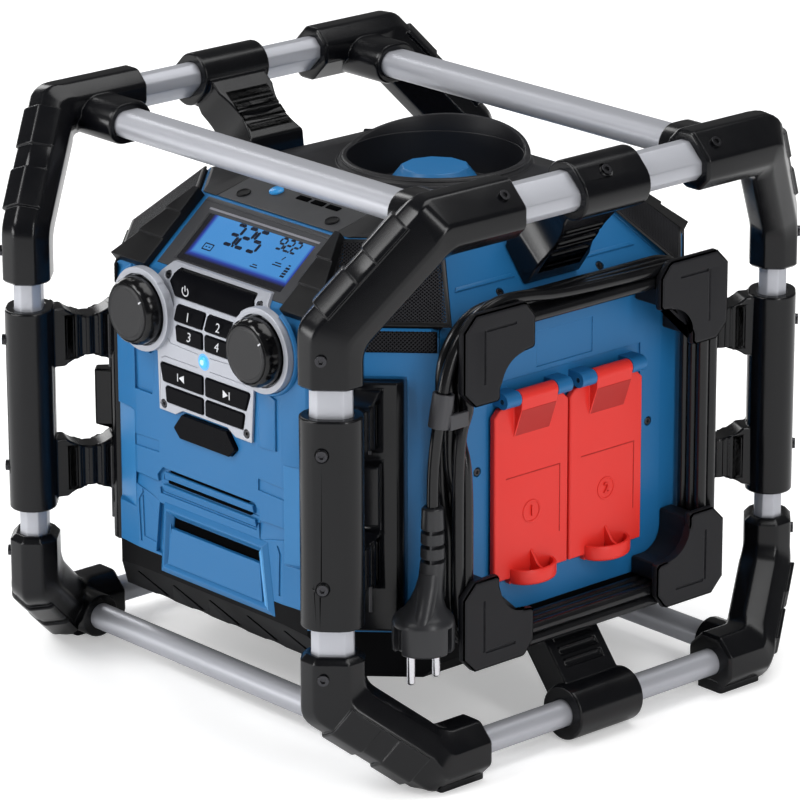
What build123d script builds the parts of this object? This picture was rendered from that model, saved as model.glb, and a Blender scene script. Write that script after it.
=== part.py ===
"""Jobsite radio in a tube roll cage, with covered power outlets and a cord wound on hooks.

Row frame: +X to the outlet side, +Y to the back, +Z up, millimetres.  The origin is on the
floor under the middle of the cage.  The control face looks along -Y.
"""
from build123d import *
from math import cos, hypot, pi, radians, sin, sqrt, tan
import os

os.makedirs("parts", exist_ok=True)

# ---------------------------------------------------------------- driving dimensions

# roll cage: tube centre lines
POST_X, POST_Y = 135.0, 173.0           # the four upright posts
SIDE_X = 165.0                          # tubes along Y, top and bottom
SIDE_TOP_Z, SIDE_LOW_Z = 330.0, 17.5
CROSS_TOP_Y, CROSS_TOP_Z = 104.5, 326.0  # carrying tubes along X
CROSS_LOW_Y = 124.0
BEND_TOP_Z, BEND_LOW_Z = 270.5, 56.7    # where the corner pieces leave the posts
BEND_Y = 128.0                          # where they meet the side tubes
MOUTH_TOP_Z, MOUTH_LOW_Z = 242.0, 86.0  # corner piece mouths on the posts
MOUTH_TOP_Y, MOUTH_LOW_Y = 70.0, 95.0   # and on the side tubes
MOUTH_TOP_X, MOUTH_LOW_X = 122.0, 136.0  # and on the cross tubes

# tubes and their sockets
TUBE_W, TUBE_T, TUBE_WALL = 24.0, 16.0, 1.5
LOW_TUBE_D = 16.0
SOCKET_FIT = 0.1
POST_GRIP, SIDE_GRIP_TOP, SIDE_GRIP_LOW = 22.0, 40.0, 19.0
CROSS_GRIP_TOP, CROSS_GRIP_LOW = 26.0, 18.0
SLEEVE_W, SLEEVE_T = 36.0, 28.0
LOW_SLEEVE_W, LOW_SLEEVE_T = 35.0, 34.0
ARM_SLEEVE_W, ARM_SLEEVE_T = 33.0, 25.0
LOW_ARM_D = 27.0
MITRE_LAP = 0.6                         # how far the runs of a corner overlap at a bend
BAND_SPANS = ((0.09, 0.41), (0.59, 0.91))   # parts of the middle run's length
BAND_RISE = 2.0
FOOT_PAD_W, FOOT_PAD_H = 20.0, 7.0

# screws that clamp the tubes
SCREW_HEAD_R, SCREW_HEAD_H, SCREW_HEX_R, SCREW_SINK, SCREW_SHANK_R = 3.2, 2.6, 1.7, 0.8, 1.5
POST_SCREW_OFF = -4.5
POST_SCREW_Z = {"top": 260.0, "high": 205.5, "low": 127.5, "bottom": 74.0}
SIDE_SCREW_Y, CENTRE_SCREW_Y = 82.0, -4.5

# sleeves that carry the body
BRACKET_Z0, BRACKET_Z1 = 102.0, 225.0
ARM_T, ARM_H = 17.0, 36.0
ARM_UP_Z, ARM_DOWN_Z = 206.0, 125.0
FOOT_W, FOOT_T, FOOT_Z0, FOOT_Z1 = 36.0, 9.0, 80.0, 228.0
RECESS_DEPTH, RECESS_FIT = 2.0, 1.5
LUG_W, LUG_T, LUG_Z0, LUG_Z1 = 13.0, 11.0, 140.0, 182.0
CENTRE_SLEEVE_L = 50.0
CENTRE_ARM_W, LOW_ARM_T = 42.0, 19.0
TOP_ARM_FOOT_Z0, TOP_ARM_FOOT_Z1, TOP_ARM_RISE = 264.0, 284.0, 18.0

# body: one quarter of its plan, and its outline heights
PLAN = [(65.0, 150.0), (84.0, 148.0), (137.0, 95.0), (138.5, 77.0)]
FRONT_Y, SIDE_FACE_X = PLAN[0][1], PLAN[3][0]
ROOF_FRONT_X = 58.0                     # half the front edge of the roof
BASE_Z, SKIRT_Z, APRON_Z = 50.0, 77.0, 88.0
FRONT_TUCK, FRONT_TUCK_Z = 21.0, 76.0
SIDE_TUCK, SIDE_TUCK_Z = 8.0, 60.0
BROW_Z, LIP_Z, LIP_BACK = 238.0, 260.0, 8.0
EAVE_Z, CROWN_Z, TOP_Z = 250.0, 295.0, 304.0
CROWN_FRONT_Y, CROWN_SIDE_X = 99.0, 102.0
CROWN_FLAT_Y, CROWN_FLAT_X = 62.0, 66.0
CORNER_EAVE_Z, CORNER_CROWN_R, CORNER_CROWN_Z = 256.0, 112.5, 297.0
CORNER_FLAT_R = 86.0
WALL = 3.5
SEAM = 0.15
HATCH_BACK_Y, HATCH_HALF_X, HATCH_T = 64.0, 52.0, 3.0

# crown recess
BOWL_Y, BOWL_R, BOWL_DEPTH, BOWL_FLOOR = 26.0, 52.0, 24.0, 3.0
BOWL_LIP, BOWL_LIP_H = 6.0, 4.0
HUB_R, HUB_TOP_R, HUB_H, HUB_SIDES = 34.0, 20.0, 18.0, 10

# speaker openings in the corner roofs
GRILLE_T, GRILLE_EDGE, GRILLE_LAP = 1.6, 9.0, 3.0
GUARD_RISE, GUARD_STEP, GUARD_STEPS, GUARD_IN_X, GUARD_HIP_LAP = 7.5, 1.4, 3, 60.0, 6.0
SPEAKER_R, SPEAKER_DEPTH, MAGNET_R, MAGNET_H, FLANGE_T = 24.0, 17.0, 15.0, 10.0, 2.0
CONE_R, CONE_T, CONE_DEPTH, CONE_CAP_R = 19.0, 1.2, 8.0, 6.0
SUB_Y, SUB_R, SUB_DEPTH, SUB_MAGNET_R, SUB_MAGNET_H = -40.0, 60.0, 34.0, 34.0, 16.0
SUB_CONE_R, SUB_CONE_DEPTH, SUB_CAP_R = 48.0, 18.0, 14.0
VENT_PITCH, VENT_W = 13.0, 4.0

# display
SCREEN_HALF_X, SCREEN_H, SCREEN_T = 44.5, 30.0, 1.5
SCREEN_SINK, BEZEL_HALF_X, BEZEL_T = 4.0, 57.0, 6.5
MODULE_T = 7.0

# control plate and keys, as seen from the front
PLATE_FIT = 0.3
PLATE_T, KEY_FIT, KEY_RISE, KEY_TAIL = 2.0, 0.35, 3.0, 4.5
KNOB_X, KNOB_Z = 53.0, 238.0
RING_R, RING_IN_R, RING_H = 25.0, 21.2, 3.5
KNOB_R, KNOB_FACE_R, KNOB_H, KNOB_GAP = 20.4, 16.4, 13.5, 0.5
KNOB_GRIPS, GRIP_R = 12, 1.3
SHAFT_R, SHAFT_L, SHAFT_FIT = 3.0, 18.0, 0.05
ENCODER_GAP, ENCODER_D, ENCODER_W, BUSH_R, BUSH_H = 2.4, 12.5, 14.0, 5.0, 6.0
PLATE_OUTLINE = [(-41.0, 180.0), (41.5, 179.5), (44.0, 216.0), (63.0, 222.0), (63.0, 250.0),
                 (50.0, 257.0), (43.0, 266.0), (-43.0, 266.0), (-50.0, 257.0),
                 (-63.0, 250.0), (-63.0, 222.0), (-42.0, 216.0)]
PLATE_NOTCH = [(-30.0, 178.0), (-20.0, 183.5), (20.0, 183.5), (30.0, 178.0)]
KEYS = {
    "power_button": [(-37.0, 257.0), (-29.5, 250.0), (29.5, 250.0), (37.0, 257.0),
                     (34.0, 264.0), (-34.0, 264.0)],
    "preset_key_1": [(-25.5, 237.0), (-0.8, 237.0), (-0.8, 246.0), (-26.0, 246.0)],
    "preset_key_2": [(1.6, 237.0), (25.5, 237.0), (26.0, 246.0), (1.6, 246.0)],
    "preset_key_3": [(-23.5, 225.0), (-0.8, 225.0), (-0.8, 234.5), (-24.5, 234.5)],
    "preset_key_4": [(1.6, 225.0), (22.5, 225.0), (24.0, 234.5), (1.6, 234.5)],
    "previous_key": [(-36.5, 198.0), (-0.8, 198.0), (-0.8, 209.0), (-39.0, 209.0)],
    "next_key": [(1.6, 198.0), (37.0, 198.0), (41.0, 209.0), (1.6, 209.0)],
    "mute_key": [(-33.5, 186.0), (-0.8, 186.0), (-0.8, 195.5), (-34.5, 195.5)],
    "equalizer_key": [(1.6, 186.0), (34.0, 186.0), (36.0, 195.5), (1.6, 195.5)],
    "wireless_key": [(-27.5, 172.0), (-22.0, 166.5), (22.0, 166.5), (27.5, 172.0),
                     (20.0, 181.5), (-20.0, 181.5)],
}
KEY_CORNER = 1.2
PLATE_SCREWS = [(-40.5, 259.0), (40.5, 259.0), (-37.0, 184.0), (37.0, 184.0)]
STATUS_Z, STATUS_R = 218.0, 3.4

# front relief: louvre and port
LOUVRE_HALF_X, LOUVRE_Z0, LOUVRE_Z1, LOUVRE_DEPTH = 43.0, 128.0, 141.0, 2.4
PORT_TOP_X, PORT_LOW_X, PORT_Z0, PORT_Z1, PORT_DEPTH = 45.0, 49.0, 89.5, 121.0, 2.6
PORT_SLOT_X, PORT_SLOT_Z0, PORT_SLOT_Z1 = 35.0, 103.0, 110.0

# outlets on the +X side
PANEL_LIP = 1.2
COVER_W, COVER_Z0, COVER_GAP, COVER_T, COVER_CORNER = 57.5, 99.0, 1.5, 4.0, 9.0
COVER_SEAT = 0.6
HINGE_X, HINGE_Z, HINGE_R, PIN_R, PIN_FIT = 145.5, 208.0, 4.6, 1.5, 0.05
KNUCKLE_HALF, LUG_GAP, LUG_HALF = 14.0, 0.4, 25.5
TAB_R, TAB_OUT, TAB_H, TAB_T = 17.0, 13.0, 9.0, 2.4
SOCKET_Z, SOCKET_R, SOCKET_DEPTH, SOCKET_WALL = 160.0, 20.0, 15.0, 3.0
SOCKET_PITCH, SOCKET_HOLE_R = 19.0, 2.5
LABEL_HALF, LABEL_Z0, LABEL_Z1, LABEL_DEPTH = 22.0, 220.0, 241.0, 0.6

# cord hooks
HOOK_OUT, HOOK_IN, HOOK_LOW_Z, HOOK_TOP_Z = 103.5, 49.0, 61.5, 272.5
HOOK_LEG, HOOK_LEG_W, HOOK_CUT = 54.0, 28.0, 9.0
HOOK_PLATE_X, HOOK_PLATE_T = 161.4, 5.6

# cord
CORD_D, COIL_LAYERS, COIL_ROWS = 7.0, 2, 3
COIL_CORNER_R = 26.0
CORD_GAP = 0.4

# doors on the two sides that look away
DOOR_HALF_X, DOOR_Z0, DOOR_Z1, DOOR_T, DOOR_LAP, DOOR_CORNER = 50.0, 112.0, 214.0, 3.6, 5.0, 7.0
BAY_DEPTH, BAY_WALL = 52.0, 2.5
DOOR_HINGE_R, DOOR_PIN_R, DOOR_KNUCKLE = 4.2, 1.5, 34.0
LATCH_W, LATCH_H, LATCH_T, LATCH_R = 30.0, 27.0, 3.6, 3.4
LATCH_EAR_R, LATCH_EAR_W, LATCH_PIN_R = 3.0, 4.0, 1.2
PACK_W, PACK_H, PACK_D = 76.0, 66.0, 44.0

# small screws in the body
PAN_R, PAN_H, PAN_SLOT_R = 2.5, 1.6, 1.1
SIDE_SCREW = (67.5, 167.5)              # out along y, up
HOOD_SCREW = (39.0, 265.0)
HATCH_SCREW = (39.0, 88.5)              # out along x, forward

# inner pieces
BOARD_T, BOARD_HALF_X, BOARD_Z0, BOARD_Z1 = 1.6, 62.0, 176.0, 246.0
SUPPLY_W, SUPPLY_D, SUPPLY_H, SUPPLY_Y = 90.0, 56.0, 42.0, 88.0

ROOT2 = sqrt(2.0)
QUARTERS = {"front_right": (1, -1), "front_left": (-1, -1), "back_right": (1, 1), "back_left": (-1, 1)}
SPAN = 600.0                            # larger than the whole part


# ---------------------------------------------------------------- shared shapes

def write(name, *pieces):
    """Write one node; several pieces stay separate solids."""
    solids = []
    for piece in pieces:
        solids.extend(piece.solids())
    export_step(Compound(label=name, children=solids) if len(solids) > 1 else solids[0],
                f"parts/{name}.step")


def unit(*v):
    length = sqrt(sum(c * c for c in v))
    return tuple(c / length for c in v)


def square_to(v, axis):
    """The part of v square to a unit axis, as a unit vector."""
    dot = sum(a * b for a, b in zip(v, axis))
    return unit(*(a - dot * b for a, b in zip(v, axis)))


def slot(at, along, wide, width, thick):
    """A slot-shaped section at a point, facing along, with its long side along wide."""
    plane = Plane(origin=at, x_dir=square_to(wide, along), z_dir=along)
    if width - thick < 0.01:
        return plane * Circle(width / 2)
    return plane * SlotOverall(width, thick)


def run(section, length):
    """A section extruded along its own normal."""
    return extrude(section, amount=length)


def mirrored(shape, sx, sy):
    """The +X, -Y shape carried to the quarter (sx, sy)."""
    if sx < 0:
        shape = mirror(shape, about=Plane.YZ)
    if sy > 0:
        shape = mirror(shape, about=Plane.XZ)
    return shape


def half_space(at, out, size=SPAN):
    """A big block on the far side of a plane."""
    plane = Plane(origin=at, z_dir=out)
    return extrude(plane * Rectangle(size, size), amount=size)


def tube(start, along, wide, length, width=TUBE_W, thick=TUBE_T):
    outer = run(slot(start, along, wide, width, thick), length)
    bore = run(slot(start, along, wide, width - 2 * TUBE_WALL, thick - 2 * TUBE_WALL), length)
    return outer - bore


# ---------------------------------------------------------------- roll cage

UP = (0.0, 0.0, 1.0)
POST_WIDE = unit(1.0, 1.0, 0.0)         # long side of a post, front right quarter
SIDE_WIDE = unit(1.0, 0.0, -1.0)        # long side of a top side tube
LOW_SIDE_WIDE = unit(1.0, 0.0, 1.0)


def between(a, b):
    """The unit vector from a to b, and their distance."""
    step = tuple(q - p for p, q in zip(a, b))
    return unit(*step), sqrt(sum(c * c for c in step))


def carried(v, before, after):
    """A vector square to before, turned with it as it bends to after."""
    bend = Vector(*before).cross(Vector(*after))
    turn = Vector(*before).get_angle(Vector(*after))
    return tuple(Vector(*v).rotate(Axis((0, 0, 0), bend.to_tuple()), turn).to_tuple())


def corner_piece(path, side_wide, sizes):
    """A moulded corner in three mitred runs, with raised bands round the outside of the middle one."""
    ways = [between(a, b)[0] for a, b in zip(path, path[1:])]
    middle_wide = carried(POST_WIDE, ways[0], ways[1])
    body = Part()
    for i, (wide, (width, thick)) in enumerate(zip((POST_WIDE, middle_wide, side_wide), sizes)):
        way, length = between(path[i], path[i + 1])
        before = 0.0 if i == 0 else SLEEVE_W
        after = 0.0 if i == 2 else SLEEVE_W
        start = tuple(c - before * w for c, w in zip(path[i], way))
        leg = run(slot(start, way, wide, width, thick), before + length + after)
        if i > 0:
            back = unit(*(-a - b for a, b in zip(ways[i - 1], way)))
            leg -= half_space(tuple(c + MITRE_LAP * b for c, b in zip(path[i], back)), back)
        if i < 2:
            on = unit(*(a + b for a, b in zip(way, ways[i + 1])))
            leg -= half_space(tuple(c + MITRE_LAP * b for c, b in zip(path[i + 1], on)), on)
        body += leg
    way, length = between(path[1], path[2])
    width, thick = sizes[1]
    middle = tuple(a + length / 2 * w for a, w in zip(path[1], way))
    outward = half_space(middle, square_to((1.0, -1.6, ways[0][2]), way))
    for low, high in BAND_SPANS:
        start = tuple(a + low * length * w for a, w in zip(path[1], way))
        band = run(slot(start, way, middle_wide, width + 2 * BAND_RISE, thick + 2 * BAND_RISE),
                   (high - low) * length)
        body += band & outward
    return body


def post_socket(mouth_z, way):
    start = (POST_X, -POST_Y, mouth_z - way)
    return run(slot(start, (0, 0, way), POST_WIDE, TUBE_W + 2 * SOCKET_FIT, TUBE_T + 2 * SOCKET_FIT),
               POST_GRIP + 1.0)


def top_corner():
    path = [(POST_X, -POST_Y, MOUTH_TOP_Z), (POST_X, -POST_Y, BEND_TOP_Z), (SIDE_X, -BEND_Y, SIDE_TOP_Z),
            (SIDE_X, -MOUTH_TOP_Y, SIDE_TOP_Z)]
    body = corner_piece(path, SIDE_WIDE, [(SLEEVE_W, SLEEVE_T)] * 3)
    arm = run(slot((SIDE_X, -CROSS_TOP_Y, CROSS_TOP_Z), (-1, 0, 0), (0, 1, 0), ARM_SLEEVE_W, ARM_SLEEVE_T),
              SIDE_X - MOUTH_TOP_X)
    body += arm
    fit = 2 * SOCKET_FIT
    side = run(slot((SIDE_X, -MOUTH_TOP_Y + 1.0, SIDE_TOP_Z), (0, -1, 0), SIDE_WIDE,
                    TUBE_W + fit, TUBE_T + fit), SIDE_GRIP_TOP + 1.0)
    cross = run(slot((MOUTH_TOP_X - 1.0, -CROSS_TOP_Y, CROSS_TOP_Z), (1, 0, 0), (0, 1, 0),
                     TUBE_W + fit, TUBE_T + fit), CROSS_GRIP_TOP + 1.0)
    depth = SLEEVE_WALL + 1.0
    for plane in (post_screw_plane(POST_SCREW_Z["top"]), side_screw_plane(-SIDE_SCREW_Y)):
        body -= screw_hole(plane, depth)
    return body - post_socket(MOUTH_TOP_Z, 1) - side - cross


def bottom_corner():
    path = [(POST_X, -POST_Y, MOUTH_LOW_Z), (POST_X, -POST_Y, BEND_LOW_Z), (SIDE_X, -BEND_Y, SIDE_LOW_Z),
            (SIDE_X, -MOUTH_LOW_Y, SIDE_LOW_Z)]
    body = corner_piece(path, LOW_SIDE_WIDE,
                        [(SLEEVE_W, SLEEVE_T), (SLEEVE_W, (SLEEVE_T + LOW_SLEEVE_T) / 2),
                         (LOW_SLEEVE_W, LOW_SLEEVE_T)])
    arm = run(slot((SIDE_X, -CROSS_LOW_Y, SIDE_LOW_Z), (-1, 0, 0), (0, 1, 0), LOW_ARM_D, LOW_ARM_D),
              SIDE_X - MOUTH_LOW_X)
    pad_y0, pad_y1 = -BEND_Y, -MOUTH_LOW_Y
    half = FOOT_PAD_W / 2
    pad = Pos(SIDE_X, (pad_y0 + pad_y1) / 2, 0) * Box(2 * half, pad_y1 - pad_y0, 2 * FOOT_PAD_H)
    body = body + arm + pad
    body -= half_space((0, 0, 0), (0, 0, -1))
    bore_d = LOW_TUBE_D + 2 * SOCKET_FIT
    side = run(slot((SIDE_X, -MOUTH_LOW_Y + 1.0, SIDE_LOW_Z), (0, -1, 0), LOW_SIDE_WIDE, bore_d, bore_d),
               SIDE_GRIP_LOW + 1.0)
    cross = run(slot((MOUTH_LOW_X - 1.0, -CROSS_LOW_Y, SIDE_LOW_Z), (1, 0, 0), (0, 1, 0), bore_d, bore_d),
                CROSS_GRIP_LOW + 1.0)
    body -= screw_hole(post_screw_plane(POST_SCREW_Z["bottom"]), SLEEVE_WALL + 1.0)
    return body - post_socket(MOUTH_LOW_Z, -1) - side - cross


def post_tubes():
    low, high = MOUTH_LOW_Z - POST_GRIP + 0.5, MOUTH_TOP_Z + POST_GRIP - 0.5
    one = tube((POST_X, -POST_Y, low), UP, POST_WIDE, high - low)
    return [mirrored(one, *q) for q in QUARTERS.values()]


def side_tubes():
    top = MOUTH_TOP_Y + SIDE_GRIP_TOP - 0.5
    low = MOUTH_LOW_Y + SIDE_GRIP_LOW - 0.5
    pair = [tube((SIDE_X, -top, SIDE_TOP_Z), (0, 1, 0), SIDE_WIDE, 2 * top),
            tube((SIDE_X, -low, SIDE_LOW_Z), (0, 1, 0), LOW_SIDE_WIDE, 2 * low, LOW_TUBE_D, LOW_TUBE_D)]
    return pair + [mirror(one, about=Plane.YZ) for one in pair]


def cross_tubes():
    top = MOUTH_TOP_X + CROSS_GRIP_TOP - 0.5
    low = MOUTH_LOW_X + CROSS_GRIP_LOW - 0.5
    pair = [tube((-top, -CROSS_TOP_Y, CROSS_TOP_Z), (1, 0, 0), (0, 1, 0), 2 * top),
            tube((-low, -CROSS_LOW_Y, SIDE_LOW_Z), (1, 0, 0), (0, 1, 0), 2 * low, LOW_TUBE_D, LOW_TUBE_D)]
    return pair + [mirror(one, about=Plane.XZ) for one in pair]


# ---------------------------------------------------------------- body form

def quarter_ring(points):
    """A closed outline from its +x, +y quarter, listed from the y side to the x side."""
    first = [(x, y) for x, y in points]
    second = [(x, -y) for x, y in reversed(points)]
    third = [(-x, -y) for x, y in points]
    fourth = [(-x, y) for x, y in reversed(points)]
    return first + second + third + fourth


def wings(points):
    """A closed outline from its right-hand side, listed from the bottom up."""
    return points + [(-x, z) for x, z in reversed(points)]


CORNER_R = (PLAN[1][0] + PLAN[1][1]) / ROOT2
FRONT_PROFILE = [(FRONT_Y - FRONT_TUCK, BASE_Z), (FRONT_Y, FRONT_TUCK_Z), (FRONT_Y, BROW_Z),
                 (FRONT_Y - LIP_BACK, LIP_Z), (CROWN_FRONT_Y, CROWN_Z), (CROWN_FLAT_Y, TOP_Z)]
SIDE_PROFILE = [(SIDE_FACE_X - SIDE_TUCK, BASE_Z), (SIDE_FACE_X, SIDE_TUCK_Z), (SIDE_FACE_X, EAVE_Z),
                (CROWN_SIDE_X, CROWN_Z), (CROWN_FLAT_X, TOP_Z)]
CORNER_PROFILE = [(CORNER_R, BASE_Z), (CORNER_R, CORNER_EAVE_Z), (CORNER_CROWN_R, CORNER_CROWN_Z),
                  (CORNER_FLAT_R, TOP_Z)]
ALONG_X = Plane.YZ                                       # outline in y, z
ALONG_Y = Plane(origin=(0, 0, 0), x_dir=(1, 0, 0), z_dir=(0, -1, 0))   # outline in x, z
DIAGONALS = [Plane(origin=(0, 0, 0), x_dir=unit(s, -1, 0), z_dir=unit(-1, -s, 0)) for s in (1, -1)]


def form(inset=0.0):
    """The body's outer form, moved in by an inset (or out by a negative one)."""
    def flat(points):
        face = make_face(Polyline(*points, close=True))
        return offset(face, amount=-inset, kind=Kind.INTERSECTION) if inset else face

    shape = extrude(flat(quarter_ring(PLAN)), amount=SPAN)
    for plane, profile in ((ALONG_X, FRONT_PROFILE), (ALONG_Y, SIDE_PROFILE),
                           (DIAGONALS[0], CORNER_PROFILE), (DIAGONALS[1], CORNER_PROFILE)):
        shape &= extrude(plane * flat(wings(profile)), amount=SPAN / 2, both=True)
    return shape


BODY = form()
CAVITY = form(WALL)
SHELL = BODY - CAVITY


def block(x0, x1, y0, y1, z0, z1):
    return Pos((x0 + x1) / 2, (y0 + y1) / 2, (z0 + z1) / 2) * Box(x1 - x0, y1 - y0, z1 - z0)


def frontal(outline, y0=-SPAN / 2, y1=0.0):
    """A prism along Y from an x, z outline, given as points or as a face."""
    plane = Plane(origin=(0, y1, 0), x_dir=(1, 0, 0), z_dir=(0, -1, 0))
    if isinstance(outline, list):
        outline = make_face(Polyline(*outline, close=True))
    return extrude(plane * outline, amount=y1 - y0)


def side_wedge(sign, gap=0.0):
    """The region of one side panel and its hood: between two upright 45 degree planes."""
    shift = PLAN[2][0] - PLAN[2][1]
    far = SPAN / 2
    points = [(CROWN_SIDE_X + gap, CROWN_SIDE_X - shift), (far, far - shift),
              (far, shift - far), (CROWN_SIDE_X + gap, shift - CROWN_SIDE_X)]
    points = [(x, y - (gap * ROOT2 if y > 0 else -gap * ROOT2)) for x, y in points]
    wedge = extrude(make_face(Polyline(*points, close=True)), amount=SPAN)
    return wedge if sign > 0 else mirror(wedge, about=Plane.YZ)


def skirt_region():
    """Below the blue and black boundary: a skirt, higher at the front and back."""
    low = block(-SPAN / 2, SPAN / 2, -SPAN / 2, SPAN / 2, 0, SKIRT_Z)
    apron_y = PLAN[1][1] - 3 * WALL
    for sign in (-1, 1):
        y0, y1 = sorted((sign * apron_y, sign * SPAN / 2))
        low += block(-PLAN[1][0], PLAN[1][0], y0, y1, 0, APRON_Z)
    return low


SKIRT = skirt_region()


# corner roofs: each is a slanted facet with an opening for a speaker
CORNER_RUN = CORNER_R - CORNER_CROWN_R
CORNER_RISE = CORNER_CROWN_Z - CORNER_EAVE_Z
CORNER_SLOPE = hypot(CORNER_RUN, CORNER_RISE)
FACET_MID = ((PLAN[1][0] + PLAN[2][0]) / 2, -(PLAN[1][1] + PLAN[2][1]) / 2)
FACET_HALF = hypot(PLAN[2][0] - PLAN[1][0], PLAN[1][1] - PLAN[2][1]) / 2


def roof_plane(depth=0.0):
    """Front right corner roof: origin at its middle, x along the eave, y up the slope."""
    out = unit(CORNER_RISE / ROOT2, -CORNER_RISE / ROOT2, CORNER_RUN)
    r = (CORNER_R + CORNER_CROWN_R) / 2
    middle = (r / ROOT2, -r / ROOT2, (CORNER_EAVE_Z + CORNER_CROWN_Z) / 2)
    origin = tuple(m - depth * n for m, n in zip(middle, out))
    return Plane(origin=origin, x_dir=unit(1, 1, 0), z_dir=out)


def roof_outline(edge):
    """The speaker opening in the roof plane, in from the facet's edges."""
    low_half = FACET_HALF - edge
    high_half = FACET_HALF * 0.82 - edge
    low, high = -CORNER_SLOPE / 2 + edge * 0.35, CORNER_SLOPE / 2 - edge * 0.8
    return [(-low_half, low), (low_half, low), (high_half, high), (-high_half, high)]


def roof_prism(edge, below, above, low_edge=0.0):
    points = roof_outline(edge)
    points = [(x, y - low_edge if y < 0 else y) for x, y in points]
    return extrude(roof_plane(below) * make_face(Polyline(*points, close=True)), amount=below + above)


ROOF_HOLE = roof_prism(GRILLE_EDGE, 3 * WALL, 3 * WALL)


def speaker_grille():
    """A perforated sheet, seated on the shell's corner roof."""
    return roof_prism(GRILLE_EDGE - GRILLE_LAP, 0.0, GRILLE_T)


def corner_guard():
    """Stepped armour along the hip between the front slope and a corner roof."""
    low, high = -SLOPE_L / 2 - 2.0, SLOPE_L / 2 - 1.0
    guard = Part()
    for i in range(GUARD_STEPS):
        s0 = low + (high - low) * i / GUARD_STEPS
        s1 = low + (high - low) * (i + 1) / GUARD_STEPS
        rise = GUARD_RISE - GUARD_STEP * (GUARD_STEPS - 1 - i)
        points = [(GUARD_IN_X, s0), (hip_x(s0) + GUARD_HIP_LAP, s0), (hip_x(s1) + GUARD_HIP_LAP, s1),
                  (GUARD_IN_X, s1)]
        slab = make_face(Polyline(*points, close=True))
        guard += extrude(screen_plane(2 * WALL) * slab, amount=2 * WALL + rise)
    guard -= roof_prism(GRILLE_EDGE - GRILLE_LAP - SOCKET_FIT, 3 * WALL, SPAN / 4)
    return guard - BODY


# ---------------------------------------------------------------- body pieces

def key_prism(name, grow=0.0, y0=-SPAN / 2, y1=0.0):
    outline = make_face(Polyline(*KEYS[name], close=True))
    outline = fillet(outline.vertices(), KEY_CORNER)
    if grow:
        outline = offset(outline, amount=grow)
    plane = Plane(origin=(0, y1, 0), x_dir=(1, 0, 0), z_dir=(0, -1, 0))
    return extrude(plane * outline, amount=y1 - y0)


def knob_axis(sign, y):
    """A plane at a knob's centre, facing the front."""
    return Plane(origin=(sign * KNOB_X, y, KNOB_Z), x_dir=(1, 0, 0), z_dir=(0, -1, 0))


def screen_plane(depth=0.0):
    """The front slope: x to the right, y up the slope, facing out; depth goes in."""
    y0, z0 = -(FRONT_Y - LIP_BACK), LIP_Z
    y1, z1 = -CROWN_FRONT_Y, CROWN_Z
    out = unit(0, -(z1 - z0), y1 - y0)
    middle = (0, (y0 + y1) / 2, (z0 + z1) / 2)
    return Plane(origin=tuple(m - depth * n for m, n in zip(middle, out)), x_dir=(1, 0, 0), z_dir=out)


SLOPE_L = hypot(FRONT_Y - LIP_BACK - CROWN_FRONT_Y, CROWN_Z - LIP_Z)
BEZEL_H = SLOPE_L - 8.0


def hip_x(s):
    """How far out the front slope's corner edge is, at a distance s up from its middle."""
    t = s / SLOPE_L + 0.5
    return PLAN[1][0] + t * (ROOF_FRONT_X - PLAN[1][0])


def bezel_outline(edge):
    half, high = BEZEL_HALF_X - edge, BEZEL_H / 2 - edge
    return make_face(Polyline((-half, -high), (half, -high), (half, high), (-half, high), close=True))


def front_housing():
    region = block(-SPAN / 2, SPAN / 2, -SPAN / 2, -SEAM, 0, CROWN_Z - SEAM) - SKIRT
    shell = (SHELL & region) - side_wedge(1, -SEAM) - side_wedge(-1, -SEAM)
    for sx in (1, -1):
        shell -= mirrored(ROOF_HOLE, sx, -1)
        shell -= extrude(knob_axis(sx, -FRONT_Y + 2 * WALL) * Circle(SHAFT_R + 0.6), amount=4 * WALL)
        shell -= foot_recess(sx, -1)
    for name in KEYS:
        shell -= key_prism(name, KEY_FIT, -FRONT_Y - 2 * WALL, -CROWN_FRONT_Y - 20.0)
    shell -= extrude(screen_plane(3 * WALL) * bezel_outline(0.0), amount=6 * WALL)
    louvre_low = -FRONT_Y + LOUVRE_DEPTH
    for i in range(2):
        z = LOUVRE_Z0 + i * (LOUVRE_Z1 - LOUVRE_Z0) * 0.55
        shell -= block(-LOUVRE_HALF_X, LOUVRE_HALF_X, -FRONT_Y - WALL, louvre_low, z, z + 3.4)
    port = [(-PORT_LOW_X, PORT_Z0), (PORT_LOW_X, PORT_Z0), (PORT_TOP_X, PORT_Z1), (-PORT_TOP_X, PORT_Z1)]
    inner = [(x * 0.9, z + (3.0 if z < 100 else -11.0)) for x, z in port]
    shell -= frontal(port, -FRONT_Y - WALL, -FRONT_Y + PORT_DEPTH) - frontal(inner)
    shell -= block(-PORT_SLOT_X, PORT_SLOT_X, -FRONT_Y - WALL, -FRONT_Y + 2 * WALL, PORT_SLOT_Z0, PORT_SLOT_Z1)
    return shell


def bay(half, z0, z1, wall_y):
    """A pocket behind an opening in a wall that faces +Y: walls and a back, open at the wall."""
    y_out, y_in = wall_y - WALL, wall_y - BAY_DEPTH
    outer = block(-half - BAY_WALL, half + BAY_WALL, y_in - BAY_WALL, y_out, z0 - BAY_WALL, z1 + BAY_WALL)
    inner = block(-half, half, y_in, y_out + 2 * WALL, z0, z1)
    return outer - inner, inner


BAY_HALF, BAY_Z0, BAY_Z1 = DOOR_HALF_X - DOOR_LAP, DOOR_Z0 + DOOR_LAP, DOOR_Z1 - DOOR_LAP
DOOR_AXIS_Z = DOOR_Z0 - DOOR_HINGE_R - 0.4


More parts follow.
